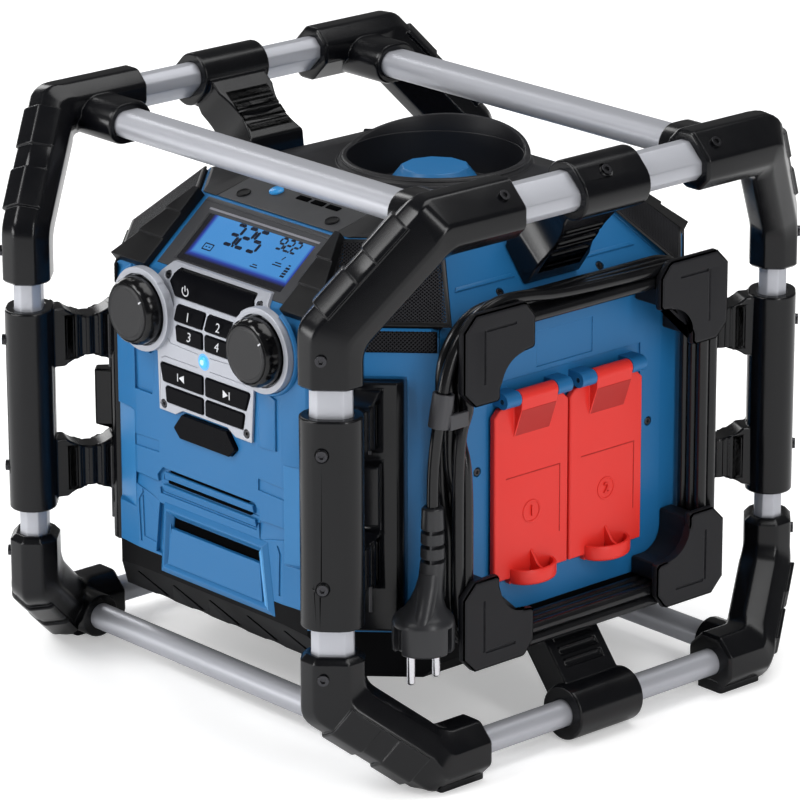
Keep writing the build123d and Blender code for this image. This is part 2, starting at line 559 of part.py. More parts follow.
def door_on(wall_y):
    """Door, latch, hinge lugs and pin for a wall at +wall_y, before any turn."""
    face = wall_y + 0.3
    axis_y = wall_y + DOOR_HINGE_R + 0.5
    latch_z = DOOR_Z1 - LATCH_H + 6.0
    latch_y = face + DOOR_T + LATCH_R + 0.6
    plate = frontal([(-DOOR_HALF_X, DOOR_Z0), (DOOR_HALF_X, DOOR_Z0), (DOOR_HALF_X, DOOR_Z1),
                     (-DOOR_HALF_X, DOOR_Z1)], face, face + DOOR_T)
    plate = fillet(plate.edges().filter_by(Axis.Y), DOOR_CORNER)
    plate = chamfer(plate.faces().sort_by(Axis.Y)[-1].outer_wire().edges(), 1.2)
    lug_x = [(-DOOR_KNUCKLE, -DOOR_KNUCKLE + 12.0), (DOOR_KNUCKLE - 12.0, DOOR_KNUCKLE)]
    rod = Plane(origin=(0, axis_y, DOOR_AXIS_Z), x_dir=(0, 1, 0), z_dir=(1, 0, 0))
    for x0, x1 in lug_x:
        arm = block(x0, x1, face, face + DOOR_T, DOOR_AXIS_Z, DOOR_Z0 + 2.0)
        barrel = extrude(rod * Pos(0, 0, x0) * Circle(DOOR_HINGE_R), amount=x1 - x0)
        plate += arm + barrel
    plate -= extrude(rod * Circle(DOOR_PIN_R + PIN_FIT), amount=SPAN / 2, both=True)
    mid = DOOR_KNUCKLE - 12.0 - LUG_GAP
    lug = extrude(rod * Pos(0, 0, -mid) * Circle(DOOR_HINGE_R), amount=2 * mid)
    lug += block(-mid, mid, wall_y - 0.01, axis_y, DOOR_AXIS_Z - 2.5, DOOR_AXIS_Z + 2.5)
    lug -= extrude(rod * Circle(DOOR_PIN_R), amount=SPAN / 2, both=True)
    pin = extrude(rod * Pos(0, 0, -DOOR_KNUCKLE) * Circle(DOOR_PIN_R), amount=2 * DOOR_KNUCKLE)
    latch_rod = Plane(origin=(0, latch_y, latch_z), x_dir=(0, 1, 0), z_dir=(1, 0, 0))
    half = LATCH_W / 2
    latch = extrude(latch_rod * Circle(LATCH_R), amount=half - 5.0, both=True)
    latch += block(-half, half, latch_y - LATCH_T / 2, latch_y + LATCH_T / 2, latch_z + LATCH_R + 0.4,
                   latch_z + LATCH_H)
    latch += block(-half + 5.0, half - 5.0, latch_y - LATCH_T / 2, latch_y + LATCH_T / 2,
                   latch_z, latch_z + LATCH_R + 1.0)
    ear_in = half - 5.0 + LUG_GAP
    for sign in (-1, 1):
        x0, x1 = sorted((sign * ear_in, sign * (ear_in + LATCH_EAR_W)))
        plate += block(x0, x1, face + DOOR_T - 0.5, latch_y, latch_z - LATCH_EAR_R, latch_z + LATCH_EAR_R)
        plate += extrude(latch_rod * Pos(0, 0, x0) * Circle(LATCH_EAR_R), amount=x1 - x0)
        pin_in = ear_in - LUG_GAP - 3.0
        x0, x1 = sorted((sign * pin_in, sign * (ear_in + LATCH_EAR_W)))
        plate += extrude(latch_rod * Pos(0, 0, x0) * Circle(LATCH_PIN_R), amount=x1 - x0)
    latch -= extrude(latch_rod * Circle(LATCH_PIN_R + PIN_FIT), amount=SPAN / 2, both=True)
    catch = block(-half + 6.0, half - 6.0, wall_y - 0.01, latch_y - LATCH_T / 2 - 0.4, DOOR_Z1 + 1.0,
                  latch_z + LATCH_H - 1.0)
    return plate, latch, lug + catch, pin


REAR_DOOR, REAR_LATCH, REAR_LUG, REAR_PIN = door_on(FRONT_Y)
TO_LEFT = Rot(0, 0, 90)
SIDE_DOOR, SIDE_LATCH, SIDE_LUG, SIDE_PIN = (TO_LEFT * piece for piece in door_on(SIDE_FACE_X))


def rear_housing():
    region = block(-SPAN / 2, SPAN / 2, SEAM, SPAN / 2, 0, CROWN_Z - SEAM) - SKIRT
    shell = (SHELL & region) - side_wedge(1, -SEAM) - side_wedge(-1, -SEAM)
    pocket, hollow = bay(BAY_HALF, BAY_Z0, BAY_Z1, FRONT_Y)
    for sx in (1, -1):
        shell -= mirrored(ROOF_HOLE, sx, 1)
        shell -= foot_recess(sx, 1)
    for i in range(5):
        z = DOOR_Z1 + 14.0 + 6.0 * i
        if z + 3.0 < BROW_Z + 10.0:
            shell -= block(-40.0, 40.0, FRONT_Y - 1.6, FRONT_Y + WALL, z, z + 2.6)
    return (shell + pocket + REAR_LUG) - hollow


def panel_window():
    """The shallow well that the two outlet covers lie over."""
    half = 2 * COVER_W / 2 + 3.0
    return block(SIDE_FACE_X - PANEL_LIP, SPAN, -half, half, COVER_Z0 + 4.0, HINGE_Z + 9.0)


def cover_centres():
    shift = (COVER_W + COVER_GAP) / 2
    return {"outlet_cover_a": -shift, "outlet_cover_b": shift}


def hinge_rod(y, length, radius):
    plane = Plane(origin=(HINGE_X, y, HINGE_Z), x_dir=(1, 0, 0), z_dir=(0, 1, 0))
    return extrude(plane * Circle(radius), amount=length)


def right_panel():
    region = block(0, SPAN, -SPAN / 2, SPAN / 2, 0, CROWN_Z - SEAM) - SKIRT
    panel = SHELL & region & side_wedge(1, SEAM)
    panel -= panel_window()
    panel -= block(SIDE_FACE_X - LABEL_DEPTH, SPAN, -LABEL_HALF, LABEL_HALF, LABEL_Z0, LABEL_Z1)
    for y in cover_centres().values():
        well = Plane(origin=(SIDE_FACE_X - 2 * WALL, y, SOCKET_Z), x_dir=(0, 1, 0), z_dir=(1, 0, 0))
        panel -= extrude(well * Circle(SOCKET_R + SOCKET_WALL + SOCKET_FIT), amount=4 * WALL)
        for sign in (-1, 1):
            inner = KNUCKLE_HALF + LUG_GAP
            y0 = y + (inner if sign > 0 else -LUG_HALF)
            lug = hinge_rod(y0, LUG_HALF - inner, HINGE_R)
            lug += block(SIDE_FACE_X - PANEL_LIP - 0.5, HINGE_X, y0, y0 + LUG_HALF - inner,
                         HINGE_Z - HINGE_R * 0.8, HINGE_Z + HINGE_R)
            panel += lug - hinge_rod(y - COVER_W / 2, COVER_W, PIN_R)
    return panel - screw_wells(side_planes())


def left_panel():
    region = block(-SPAN, 0, -SPAN / 2, SPAN / 2, 0, CROWN_Z - SEAM) - SKIRT
    panel = SHELL & region & side_wedge(-1, SEAM)
    pocket, hollow = bay(BAY_HALF, BAY_Z0, BAY_Z1, SIDE_FACE_X)
    panel = panel + TO_LEFT * pocket + SIDE_LUG
    return panel - TO_LEFT * hollow - mirror(screw_wells(side_planes()), about=Plane.YZ)


def base_tray():
    """The black skirt and floor, hollow above its floor."""
    solid = BODY & SKIRT
    solid -= form(WALL) & block(-SPAN / 2, SPAN / 2, -SPAN / 2, SPAN / 2, BASE_Z + WALL, SPAN)
    ring = extrude(Plane(origin=(0, SUB_Y, BASE_Z - 1.0)) * Circle(SUB_CONE_R - 6.0), amount=3 * WALL)
    for i in range(-3, 4):
        y = SUB_Y + i * VENT_PITCH
        solid -= block(-SUB_R, SUB_R, y - VENT_W / 2, y + VENT_W / 2, BASE_Z - 1.0, BASE_Z + WALL + 1.0) & ring
    for sx, sy in QUARTERS.values():
        solid -= foot_recess(sx, sy)
    return solid


def bowl_plane(z):
    return Plane(origin=(0, BOWL_Y, z))


def crown_cover():
    top = BODY & block(-SPAN / 2, SPAN / 2, -SPAN / 2, SPAN / 2, CROWN_Z + SEAM, SPAN)
    top -= CAVITY
    wall = extrude(bowl_plane(TOP_Z - BOWL_DEPTH) * Circle(BOWL_R + WALL), amount=BOWL_DEPTH)
    foot = CROWN_Z + 2 * SEAM
    lip = extrude(bowl_plane(foot) * Circle(BOWL_R + BOWL_LIP), amount=TOP_Z + BOWL_LIP_H - foot)
    lip = chamfer(lip.edges().sort_by(Axis.Z)[-1], BOWL_LIP_H * 0.9)
    top = top + wall + lip
    top -= extrude(bowl_plane(TOP_Z - BOWL_DEPTH + BOWL_FLOOR) * Circle(BOWL_R), amount=SPAN)
    top -= hatch_region(0.2, HATCH_T)
    return top


def hatch_region(grow, depth):
    """The front of the crown, under the hatch."""
    half, back = HATCH_HALF_X + grow, HATCH_BACK_Y - grow
    strip = block(-half, half, -CROWN_FRONT_Y - 2.0, -back, CROWN_Z, SPAN)
    return (BODY - form(depth)) & strip


def top_hatch():
    plate = hatch_region(0.0, HATCH_T - 0.05) & block(-SPAN, SPAN, -SPAN, SPAN, CROWN_Z + 2 * SEAM, SPAN)
    plate -= screw_wells([hatch_plane(s * HATCH_SCREW[0], -HATCH_SCREW[1]) for s in (1, -1)])
    return plate


def crown_hub():
    floor = TOP_Z - BOWL_DEPTH + BOWL_FLOOR
    low = bowl_plane(floor) * RegularPolygon(HUB_R, HUB_SIDES)
    high = bowl_plane(floor + HUB_H) * RegularPolygon(HUB_TOP_R, HUB_SIDES)
    return loft([low, high], ruled=True)


# ---------------------------------------------------------------- display and controls

def plate_outline(grow):
    """The control plate's outline, or one a little larger."""
    return make_face(Polyline(*PLATE_OUTLINE, close=True)) if not grow else offset(
        make_face(Polyline(*PLATE_OUTLINE, close=True)), amount=grow, kind=Kind.INTERSECTION)


def control_plate():
    """A bent sheet that follows the front, with a raised ring round each knob."""
    sheet = (form(-PLATE_T) - BODY) & frontal(plate_outline(0.0))
    rings = [extrude(knob_axis(s, -FRONT_Y) * Circle(RING_R), amount=PLATE_T + RING_H) for s in (1, -1)]
    sheet = sheet + rings[0] + rings[1] - BODY
    sheet -= frontal(PLATE_NOTCH)
    for sign in (1, -1):
        floor = -FRONT_Y - PLATE_T
        sheet -= extrude(knob_axis(sign, floor) * Circle(RING_IN_R), amount=2 * RING_H)
        sheet -= extrude(knob_axis(sign, 0.0) * Circle(SHAFT_R + 0.6), amount=SPAN / 2)
    for name in KEYS:
        sheet -= key_prism(name, KEY_FIT)
    for x, z in PLATE_SCREWS:
        sheet -= extrude(front_plane(x, z) * Pos(0, 0, -PLATE_T) * Circle(PAN_R + 0.2), amount=4 * PLATE_T)
    lens = Plane(origin=(0, 0, STATUS_Z), x_dir=(1, 0, 0), z_dir=(0, -1, 0))
    return sheet - extrude(lens * Circle(STATUS_R), amount=SPAN / 2)


def key(name):
    body = form(-KEY_RISE) & key_prism(name)
    depth = KEY_TAIL
    low_z = min(z for _, z in KEYS[name])
    front = -FRONT_Y if low_z < BROW_Z else -(FRONT_Y - LIP_BACK * (low_z - BROW_Z) / (LIP_Z - BROW_Z))
    return body & block(-SPAN, SPAN, -SPAN, front + depth, 0, SPAN)


def knob(sign):
    base = -FRONT_Y - PLATE_T - KNOB_GAP
    skirt = extrude(knob_axis(sign, base) * Circle(KNOB_R), amount=KNOB_H * 0.8)
    top = loft([knob_axis(sign, base - KNOB_H * 0.8) * Circle(KNOB_R),
                knob_axis(sign, base - KNOB_H) * Circle(KNOB_FACE_R)])
    body = skirt + top
    for i in range(KNOB_GRIPS):
        a = 2 * pi * i / KNOB_GRIPS
        dot = knob_axis(sign, base + 1.0) * Pos((KNOB_R + 0.3) * cos(a), (KNOB_R + 0.3) * sin(a)) * Circle(GRIP_R)
        body -= extrude(dot, amount=KNOB_H + 2.0)
    shaft = extrude(knob_axis(sign, base + SHAFT_L) * Circle(SHAFT_R), amount=SHAFT_L + 1.0)
    return body + shaft


def encoder(sign):
    """The fixed body and bush that each knob's shaft turns in."""
    y = -FRONT_Y + WALL + ENCODER_GAP
    bush = extrude(knob_axis(sign, y + BUSH_H) * Circle(BUSH_R), amount=BUSH_H)
    half = ENCODER_W / 2
    x = sign * KNOB_X
    case = block(x - half, x + half, y + BUSH_H - 0.5, y + ENCODER_D, KNOB_Z - half, KNOB_Z + half)
    bore = extrude(knob_axis(sign, y + SPAN / 4) * Circle(SHAFT_R + SHAFT_FIT), amount=SPAN / 2)
    return bush + case - bore


def status_lens():
    """A small dome in the control plate that glows when the radio is on."""
    plane = Plane(origin=(0, -FRONT_Y, STATUS_Z), x_dir=(1, 0, 0), z_dir=(0, -1, 0))
    stem = extrude(plane * Circle(STATUS_R - 0.05), amount=PLATE_T)
    dome = Pos(0, -FRONT_Y - PLATE_T + 4.0, STATUS_Z) * Sphere(5.4)
    return stem + (dome & extrude(plane * Circle(STATUS_R - 0.05), amount=PLATE_T + 2.0))


def display_bezel():
    outer = extrude(screen_plane(WALL) * offset(bezel_outline(0.0), amount=-SOCKET_FIT), amount=WALL + 0.4)
    seat = extrude(screen_plane(BEZEL_T) * bezel_outline(6.0), amount=BEZEL_T - WALL)
    window = extrude(screen_plane(BEZEL_T + 1.0) * Rectangle(2 * SCREEN_HALF_X, SCREEN_H), amount=SPAN / 2)
    rim = loft([screen_plane(SCREEN_SINK) * Rectangle(2 * SCREEN_HALF_X, SCREEN_H),
                screen_plane(-0.5) * Rectangle(2 * SCREEN_HALF_X + 5.0, SCREEN_H + 5.0)], ruled=True)
    frame = outer + seat - window - rim
    return frame - (frontal(plate_outline(PLATE_FIT)) - BODY)


def display_window():
    plane = screen_plane(SCREEN_SINK + SCREEN_T)
    return extrude(plane * Rectangle(2 * SCREEN_HALF_X - 0.2, SCREEN_H - 0.2), amount=SCREEN_T)


def display_module():
    plane = screen_plane(BEZEL_T + MODULE_T)
    box = extrude(plane * Rectangle(2 * SCREEN_HALF_X - 4.0, SCREEN_H + 4.0), amount=MODULE_T)
    riser = extrude(screen_plane(BEZEL_T) * Rectangle(2 * SCREEN_HALF_X - 0.6, SCREEN_H - 0.6),
                    amount=BEZEL_T - SCREEN_SINK - SCREEN_T)
    return box + riser


# ---------------------------------------------------------------- outlets

def outlet_cover(y):
    """A flap with a knuckle at its top and a scooped finger tab at its foot."""
    half = COVER_W / 2
    top = HINGE_Z - 1.0
    x0 = SIDE_FACE_X + COVER_SEAT
    face = Plane(origin=(x0, y, 0), x_dir=(0, 1, 0), z_dir=(1, 0, 0))
    flap = extrude(face * make_face(Polyline(
        (-half, COVER_Z0), (half, COVER_Z0), (half, top - COVER_CORNER), (half - COVER_CORNER, top),
        (COVER_CORNER - half, top), (-half, top - COVER_CORNER), close=True)), amount=COVER_T)
    flap = chamfer(flap.faces().sort_by(Axis.X)[-1].outer_wire().edges(), 0.8)
    lug_in = KNUCKLE_HALF + LUG_GAP / 2
    for sign in (-1, 1):
        y0, y1 = sorted((y + sign * lug_in, y + sign * (LUG_HALF + LUG_GAP)))
        flap -= block(SIDE_FACE_X - WALL, SPAN, y0, y1, HINGE_Z - HINGE_R - 1.0, SPAN)
    flap += hinge_rod(y - KNUCKLE_HALF, 2 * KNUCKLE_HALF, HINGE_R)
    web = Plane(origin=(0, y - KNUCKLE_HALF, 0), x_dir=(1, 0, 0), z_dir=(0, -1, 0))
    ramp = make_face(Polyline((x0 + 1.0, HINGE_Z - 1.0), (HINGE_X + HINGE_R - 0.3, HINGE_Z - 1.0),
                              (HINGE_X + HINGE_R - 1.0, HINGE_Z - 7.0), (x0 + COVER_T, HINGE_Z - 24.0),
                              (x0 + 1.0, HINGE_Z - 24.0), close=True))
    flap += extrude(web * ramp, amount=-2 * KNUCKLE_HALF)
    flap -= hinge_rod(y - SPAN / 2, SPAN, PIN_R + PIN_FIT)
    tab_at = Plane(origin=(x0 + COVER_T - 1.0, y, COVER_Z0 - 3.0))
    disc = extrude(tab_at * Circle(TAB_R), amount=TAB_H)
    hollow = extrude(Plane(origin=(x0 + COVER_T - 1.0, y, COVER_Z0 - 3.0 + TAB_T)) * Circle(TAB_R - TAB_T),
                     amount=TAB_H)
    keep = block(x0, x0 + COVER_T - 1.0 + TAB_OUT, y - SPAN, y + SPAN, 0, SPAN)
    rib = block(x0 + COVER_T - 1.0, x0 + COVER_T - 2.0 + TAB_OUT, y - 0.9, y + 0.9, COVER_Z0 - 3.0,
                COVER_Z0 + TAB_H)
    return flap + ((disc - hollow) & keep) + (rib & disc)


def outlet_socket(y):
    """A round socket well with two pin holes."""
    face = SIDE_FACE_X - PANEL_LIP
    cup = Plane(origin=(face - SOCKET_DEPTH - SOCKET_WALL, y, SOCKET_Z), x_dir=(0, 1, 0), z_dir=(1, 0, 0))
    body = extrude(cup * Circle(SOCKET_R + SOCKET_WALL), amount=SOCKET_DEPTH + SOCKET_WALL)
    well = Plane(origin=(face - SOCKET_DEPTH, y, SOCKET_Z), x_dir=(0, 1, 0), z_dir=(1, 0, 0))
    body -= extrude(well * Circle(SOCKET_R), amount=SPAN / 4)
    for sign in (-1, 1):
        pin = Plane(origin=(face - SOCKET_DEPTH - 2 * SOCKET_WALL, y + sign * SOCKET_PITCH / 2, SOCKET_Z),
                    x_dir=(0, 1, 0), z_dir=(1, 0, 0))
        body -= extrude(pin * Circle(SOCKET_HOLE_R), amount=SPAN / 4)
    return body


def outlet_pins():
    return [hinge_rod(y - LUG_HALF, 2 * LUG_HALF, PIN_R) for y in cover_centres().values()]


# ---------------------------------------------------------------- cord and hooks

COIL_X0 = HOOK_PLATE_X - CORD_GAP - COIL_ROWS * CORD_D
COIL_X1 = COIL_X0 + COIL_ROWS * CORD_D
COIL_THICK = COIL_LAYERS * CORD_D
COIL_OUT_Y = HOOK_OUT - 0.5
COIL_Z0, COIL_Z1 = HOOK_LOW_Z + 0.5, HOOK_TOP_Z - 3.0
SIDE_VIEW = Plane(origin=(0, 0, 0), x_dir=(0, 1, 0), z_dir=(1, 0, 0))     # outline in y, z


def rounded(half_y, z0, z1, radius):
    return Pos(0, (z0 + z1) / 2) * RectangleRounded(2 * half_y, z1 - z0, radius)


def cord_winding():
    """The outer shape of the cord's turns: a ring of rectangular section."""
    outer = rounded(COIL_OUT_Y, COIL_Z0, COIL_Z1, COIL_CORNER_R + COIL_THICK)
    inner = rounded(COIL_OUT_Y - COIL_THICK, COIL_Z0 + COIL_THICK, COIL_Z1 - COIL_THICK, COIL_CORNER_R)
    ring = extrude(SIDE_VIEW * (outer - inner), amount=COIL_X1 - COIL_X0)
    return Pos(COIL_X0, 0, 0) * ring


def hook(sy, top):
    """One L-shaped cord hook: a web inside the cord's corner and a plate over it."""
    sign_z = 1 if top else -1
    z_out = HOOK_TOP_Z if top else HOOK_LOW_Z

    def at(u, w):
        """u: distance from the middle outwards; w: distance in from the outer edge."""
        return (sy * u, z_out - sign_z * w)

    cut = HOOK_CUT
    plate = [at(HOOK_OUT, cut), at(HOOK_OUT - cut, 0), at(HOOK_IN + cut * 0.8, 0), at(HOOK_IN, cut),
             at(HOOK_IN, HOOK_LEG_W), at(HOOK_IN + 8.0, HOOK_LEG_W + 1.0), at(HOOK_OUT - HOOK_LEG_W, HOOK_LEG - 8.0),
             at(HOOK_OUT - HOOK_LEG_W, HOOK_LEG), at(HOOK_OUT - cut, HOOK_LEG), at(HOOK_OUT, HOOK_LEG - cut)]
    face = make_face(Polyline(*plate, close=True))
    plate = Pos(HOOK_PLATE_X, 0, 0) * extrude(SIDE_VIEW * face, amount=HOOK_PLATE_T)
    plate = chamfer(plate.faces().sort_by(Axis.X)[-1].outer_wire().edges(), 1.2)
    gap = COIL_THICK + CORD_GAP
    inner = rounded(COIL_OUT_Y - gap, COIL_Z0 + gap, COIL_Z1 - gap, COIL_CORNER_R - CORD_GAP)
    web_zone = block(-SPAN, SPAN, *sorted((sy * (HOOK_IN + 6.0), sy * SPAN)),
                     *sorted((z_out - sign_z * (HOOK_LEG - 4.0), z_out + sign_z * SPAN)))
    core = rounded(COIL_OUT_Y - gap - 11.0, COIL_Z0 + gap + 11.0, COIL_Z1 - gap - 11.0, COIL_CORNER_R - 11.0)
    web = extrude(SIDE_VIEW * (inner - core), amount=HOOK_PLATE_X)
    web = (web & web_zone) - BODY
    return plate + web


GLAND_Y0, GLAND_Y1, GLAND_Z = -53.0, -33.0, COIL_Z0 + COIL_THICK - CORD_D / 2
GLAND_X = COIL_X0 + CORD_D / 2


def cord_gland():
    """A moulded elbow on the side panel; the cord leaves it along +Y into the first turn."""
    way = Plane(origin=(GLAND_X, GLAND_Y0, GLAND_Z), x_dir=(1, 0, 0), z_dir=(0, 1, 0))
    boot = extrude(way * Circle(CORD_D / 2 + 1.6), amount=GLAND_Y1 - GLAND_Y0)
    boot = boot & block(SIDE_FACE_X, SPAN, -SPAN, SPAN, 0, SPAN)
    foot = block(SIDE_FACE_X, GLAND_X, GLAND_Y0, GLAND_Y0 + 13.0, GLAND_Z - 6.0, GLAND_Z + 6.0)
    return boot + foot - extrude(Plane(origin=(GLAND_X, GLAND_Y0 + 4.0, GLAND_Z), z_dir=(0, 1, 0))
                                 * Circle(CORD_D / 2), amount=SPAN / 4)


# the free end of the cord: out of the winding's top, down past the hook and into the plug
TAIL = [(157.4, -24.0, 268.0), (157.4, -50.0, 272.6), (157.4, -74.0, 273.5), (157.4, -95.5, 262.0),
        (157.4, -107.8, 241.5), (157.2, -112.5, 219.0), (155.2, -114.6, 197.0), (153.0, -114.5, 178.0),
        (153.0, -114.5, 161.8)]
PLUG_X, PLUG_Y, PLUG_R = 153.0, -121.5, 18.0
PLUG_Z0, PLUG_Z1, PLUG_DOME_Z = 79.0, 105.0, 122.0
RELIEF_LOW_R, RELIEF_TOP_R = 7.2, 6.2
PIN_PITCH, PLUG_PIN_R, PLUG_PIN_L = 19.0, 2.4, 19.0
CLIP_R, CLIP_L, CLIP_BAR_Z0, CLIP_BAR_Z1, CLIP_T = 6.2, 20.0, 208.0, 217.0, 2.6


def fillet_radii(points):
    """The largest tangent arc at each inner point: 0.45 of its shorter run over tan(half turn)."""
    radii = []
    for before, here, after in zip(points, points[1:], points[2:]):
        a, b = Vector(*here) - Vector(*before), Vector(*after) - Vector(*here)
        radii.append(0.45 * min(a.length, b.length) / tan(radians(a.get_angle(b) / 2)))
    return radii


def cord_tail():
    radii = fillet_radii(TAIL)
    print("cord radii", [round(r, 1) for r in radii])
    path = FilletPolyline(*TAIL, radius=radii)
    start = Plane(origin=path @ 0, z_dir=path % 0)
    cord = sweep(start * Circle(CORD_D / 2), path=path)
    print("cord volume over section times length", round(cord.volume / (pi * CORD_D ** 2 / 4 * path.length), 4))
    return cord


def cord_clip():
    """A ring on the free end with a bar that lies over the winding."""
    before, here, after = TAIL[4:7]
    way = Plane(origin=(here[0], here[1] + 0.6, here[2]),
                z_dir=unit(*(a - b for a, b in zip(before, after))))
    ring = extrude(way * Circle(CLIP_R), amount=CLIP_L / 2, both=True)
    bar_x = COIL_X1 + SOCKET_FIT
    bar = block(bar_x, bar_x + CLIP_T, here[1] + 2.0, -COIL_OUT_Y + 6.0, CLIP_BAR_Z0, CLIP_BAR_Z1)
    return ring + bar - extrude(way * Circle(CORD_D / 2 + 0.9), amount=SPAN / 4, both=True)


def plug_body():
    base = Plane(origin=(PLUG_X, PLUG_Y, PLUG_Z0))
    neck = Plane(origin=(PLUG_X, TAIL[-1][1], PLUG_Z1 - 4.0))
    body = extrude(base * Circle(PLUG_R), amount=PLUG_Z1 - PLUG_Z0)
    dome = loft([Plane(origin=(PLUG_X, PLUG_Y, PLUG_Z1)) * Circle(PLUG_R),
                 Plane(origin=(PLUG_X, (PLUG_Y + TAIL[-1][1]) / 2, PLUG_DOME_Z)) * Circle(PLUG_R * 0.5)])
    relief = loft([neck * Circle(RELIEF_LOW_R), Plane(origin=TAIL[-1]) * Circle(RELIEF_TOP_R)])
    for sign in (1, -1):
        side = block(PLUG_X + sign * PLUG_R - 2.2, PLUG_X + sign * PLUG_R + 2.2, PLUG_Y - 4.0, PLUG_Y + 4.0,
                     PLUG_Z0 - 1.0, PLUG_Z1)
        body -= side
    body = body + dome + relief
    for sign in (1, -1):
        body -= Pos(PLUG_X, PLUG_Y + sign * PIN_PITCH / 2, PLUG_Z0) * Cylinder(PLUG_PIN_R, 12.0)
    return body


def plug_pins():
    """Two round contacts, held in the plug and standing out below it."""
    pins = []
    for sign in (1, -1):
        y = PLUG_Y + sign * PIN_PITCH / 2
        rod = Pos(PLUG_X, y, PLUG_Z0 + 5.5 - (PLUG_PIN_L + 5.5) / 2) * Cylinder(PLUG_PIN_R - 0.05,
                                                                              PLUG_PIN_L + 5.5)
        pins.append(fillet(rod.edges().sort_by(Axis.Z)[0], 1.6))
    return pins


# ---------------------------------------------------------------- screws

def screw(plane, depth):
    """A hex socket screw: its head sunk a little into the face at the plane, its shank going in."""
    head = extrude(plane * Pos(0, 0, -SCREW_SINK) * Circle(SCREW_HEAD_R), amount=SCREW_HEAD_H)
    socket = plane * Pos(0, 0, SCREW_HEAD_H - SCREW_SINK - 1.4) * RegularPolygon(SCREW_HEX_R, 6)
    shank = extrude(plane * Pos(0, 0, -depth) * Circle(SCREW_SHANK_R), amount=depth - SCREW_SINK)
    return head + shank - extrude(socket, amount=SCREW_HEAD_H)


def screw_hole(plane, depth):
    pocket = extrude(plane * Pos(0, 0, -SCREW_SINK) * Circle(SCREW_HEAD_R + SOCKET_FIT), amount=SLEEVE_T)
    return pocket + extrude(plane * Pos(0, 0, -depth) * Circle(SCREW_SHANK_R + SOCKET_FIT), amount=depth)


SLEEVE_WALL = (SLEEVE_T - TUBE_T) / 2


def post_screw_plane(z):
    out = unit(1, -1, 0)
    wide = POST_WIDE
    x = POST_X + out[0] * SLEEVE_T / 2 + wide[0] * POST_SCREW_OFF
    y = -POST_Y + out[1] * SLEEVE_T / 2 + wide[1] * POST_SCREW_OFF
    return Plane(origin=(x, y, z), x_dir=wide, z_dir=out)


def side_screw_plane(y):
    out = unit(1, 0, 1)
    return Plane(origin=(SIDE_X + out[0] * SLEEVE_T / 2, y, SIDE_TOP_Z + out[2] * SLEEVE_T / 2),
                 x_dir=SIDE_WIDE, z_dir=out)


def cage_screws():
    depth = SLEEVE_WALL - SOCKET_FIT
    quarter = [screw(post_screw_plane(z), depth) for z in POST_SCREW_Z.values()]
    quarter.append(screw(side_screw_plane(-SIDE_SCREW_Y), depth))
    screws = [mirrored(one, *q) for one in quarter for q in QUARTERS.values()]
    centre = screw(side_screw_plane(CENTRE_SCREW_Y), depth)
    return screws + [centre, mirror(centre, about=Plane.YZ)]


# ---------------------------------------------------------------- brackets between cage and body

def plan_point(r, t):
    """Front right quarter: r out along the plan's diagonal, t along it towards the back."""
    return ((r + t) / ROOT2, (t - r) / ROOT2)


POST_R, POST_T = (POST_X + POST_Y) / ROOT2, (POST_X - POST_Y) / ROOT2
FACET_T = (FACET_MID[0] + FACET_MID[1]) / ROOT2


def foot_recess(sx, sy):
    """The shallow recess in a corner facet that a bracket foot sits in."""
    x, y = plan_point(CORNER_R - RECESS_DEPTH, FACET_T)
    plane = Plane(origin=(x, y, 0), x_dir=unit(1, 1, 0), z_dir=unit(1, -1, 0))
    middle, tall = (FOOT_Z0 + FOOT_Z1) / 2, FOOT_Z1 - FOOT_Z0
    well = plane * Pos(0, middle) * Rectangle(FOOT_W + 2 * RECESS_FIT, tall + 2 * RECESS_FIT)
    return mirrored(extrude(well, amount=20.0), sx, sy)


def post_bracket():
    """A sleeve round a post, two webs and a foot plate on the corner facet."""
    sleeve = run(slot((POST_X, -POST_Y, BRACKET_Z0), UP, POST_WIDE, SLEEVE_W, SLEEVE_T), BRACKET_Z1 - BRACKET_Z0)
    back = CORNER_R - RECESS_DEPTH + SOCKET_FIT
    half = FOOT_W / 2
    outline = [(back, FACET_T - half), (back, FACET_T + half), (back + FOOT_T - 3.0, FACET_T + half),
               (back + FOOT_T, FACET_T + half - 4.0), (back + FOOT_T, FACET_T - half + 4.0),
               (back + FOOT_T - 3.0, FACET_T - half)]
    foot = extrude(Plane(origin=(0, 0, FOOT_Z0)) * make_face(Polyline(*[plan_point(*p) for p in outline],
                                                                      close=True)), amount=FOOT_Z1 - FOOT_Z0)
    web = [(back + 3.0, FACET_T - ARM_T / 2), (back + 3.0, FACET_T + ARM_T / 2), (POST_R, POST_T + ARM_T / 2),
           (POST_R, POST_T - ARM_T / 2)]
    web = make_face(Polyline(*[plan_point(*p) for p in web], close=True))
    body = sleeve + foot
    for z in (ARM_UP_Z, ARM_DOWN_Z):
        body += extrude(Plane(origin=(0, 0, z - ARM_H / 2)) * web, amount=ARM_H)
    lug = [(back + FOOT_T - 1.0, FACET_T - LUG_W / 2), (back + FOOT_T - 1.0, FACET_T + LUG_W / 2),
           (back + FOOT_T + LUG_T, FACET_T + LUG_W / 2 - 2.0), (back + FOOT_T + LUG_T, FACET_T - LUG_W / 2 + 2.0)]
    lug = make_face(Polyline(*[plan_point(*p) for p in lug], close=True))
    body += extrude(Plane(origin=(0, 0, LUG_Z0)) * lug, amount=LUG_Z1 - LUG_Z0)
    body -= run(slot((POST_X, -POST_Y, BRACKET_Z0 - 1.0), UP, POST_WIDE, TUBE_W + 2 * SOCKET_FIT,
                     TUBE_T + 2 * SOCKET_FIT), BRACKET_Z1 - BRACKET_Z0 + 2.0)
    for name in ("high", "low"):
        body -= screw_hole(post_screw_plane(POST_SCREW_Z[name]), SLEEVE_WALL + 1.0)
    return body


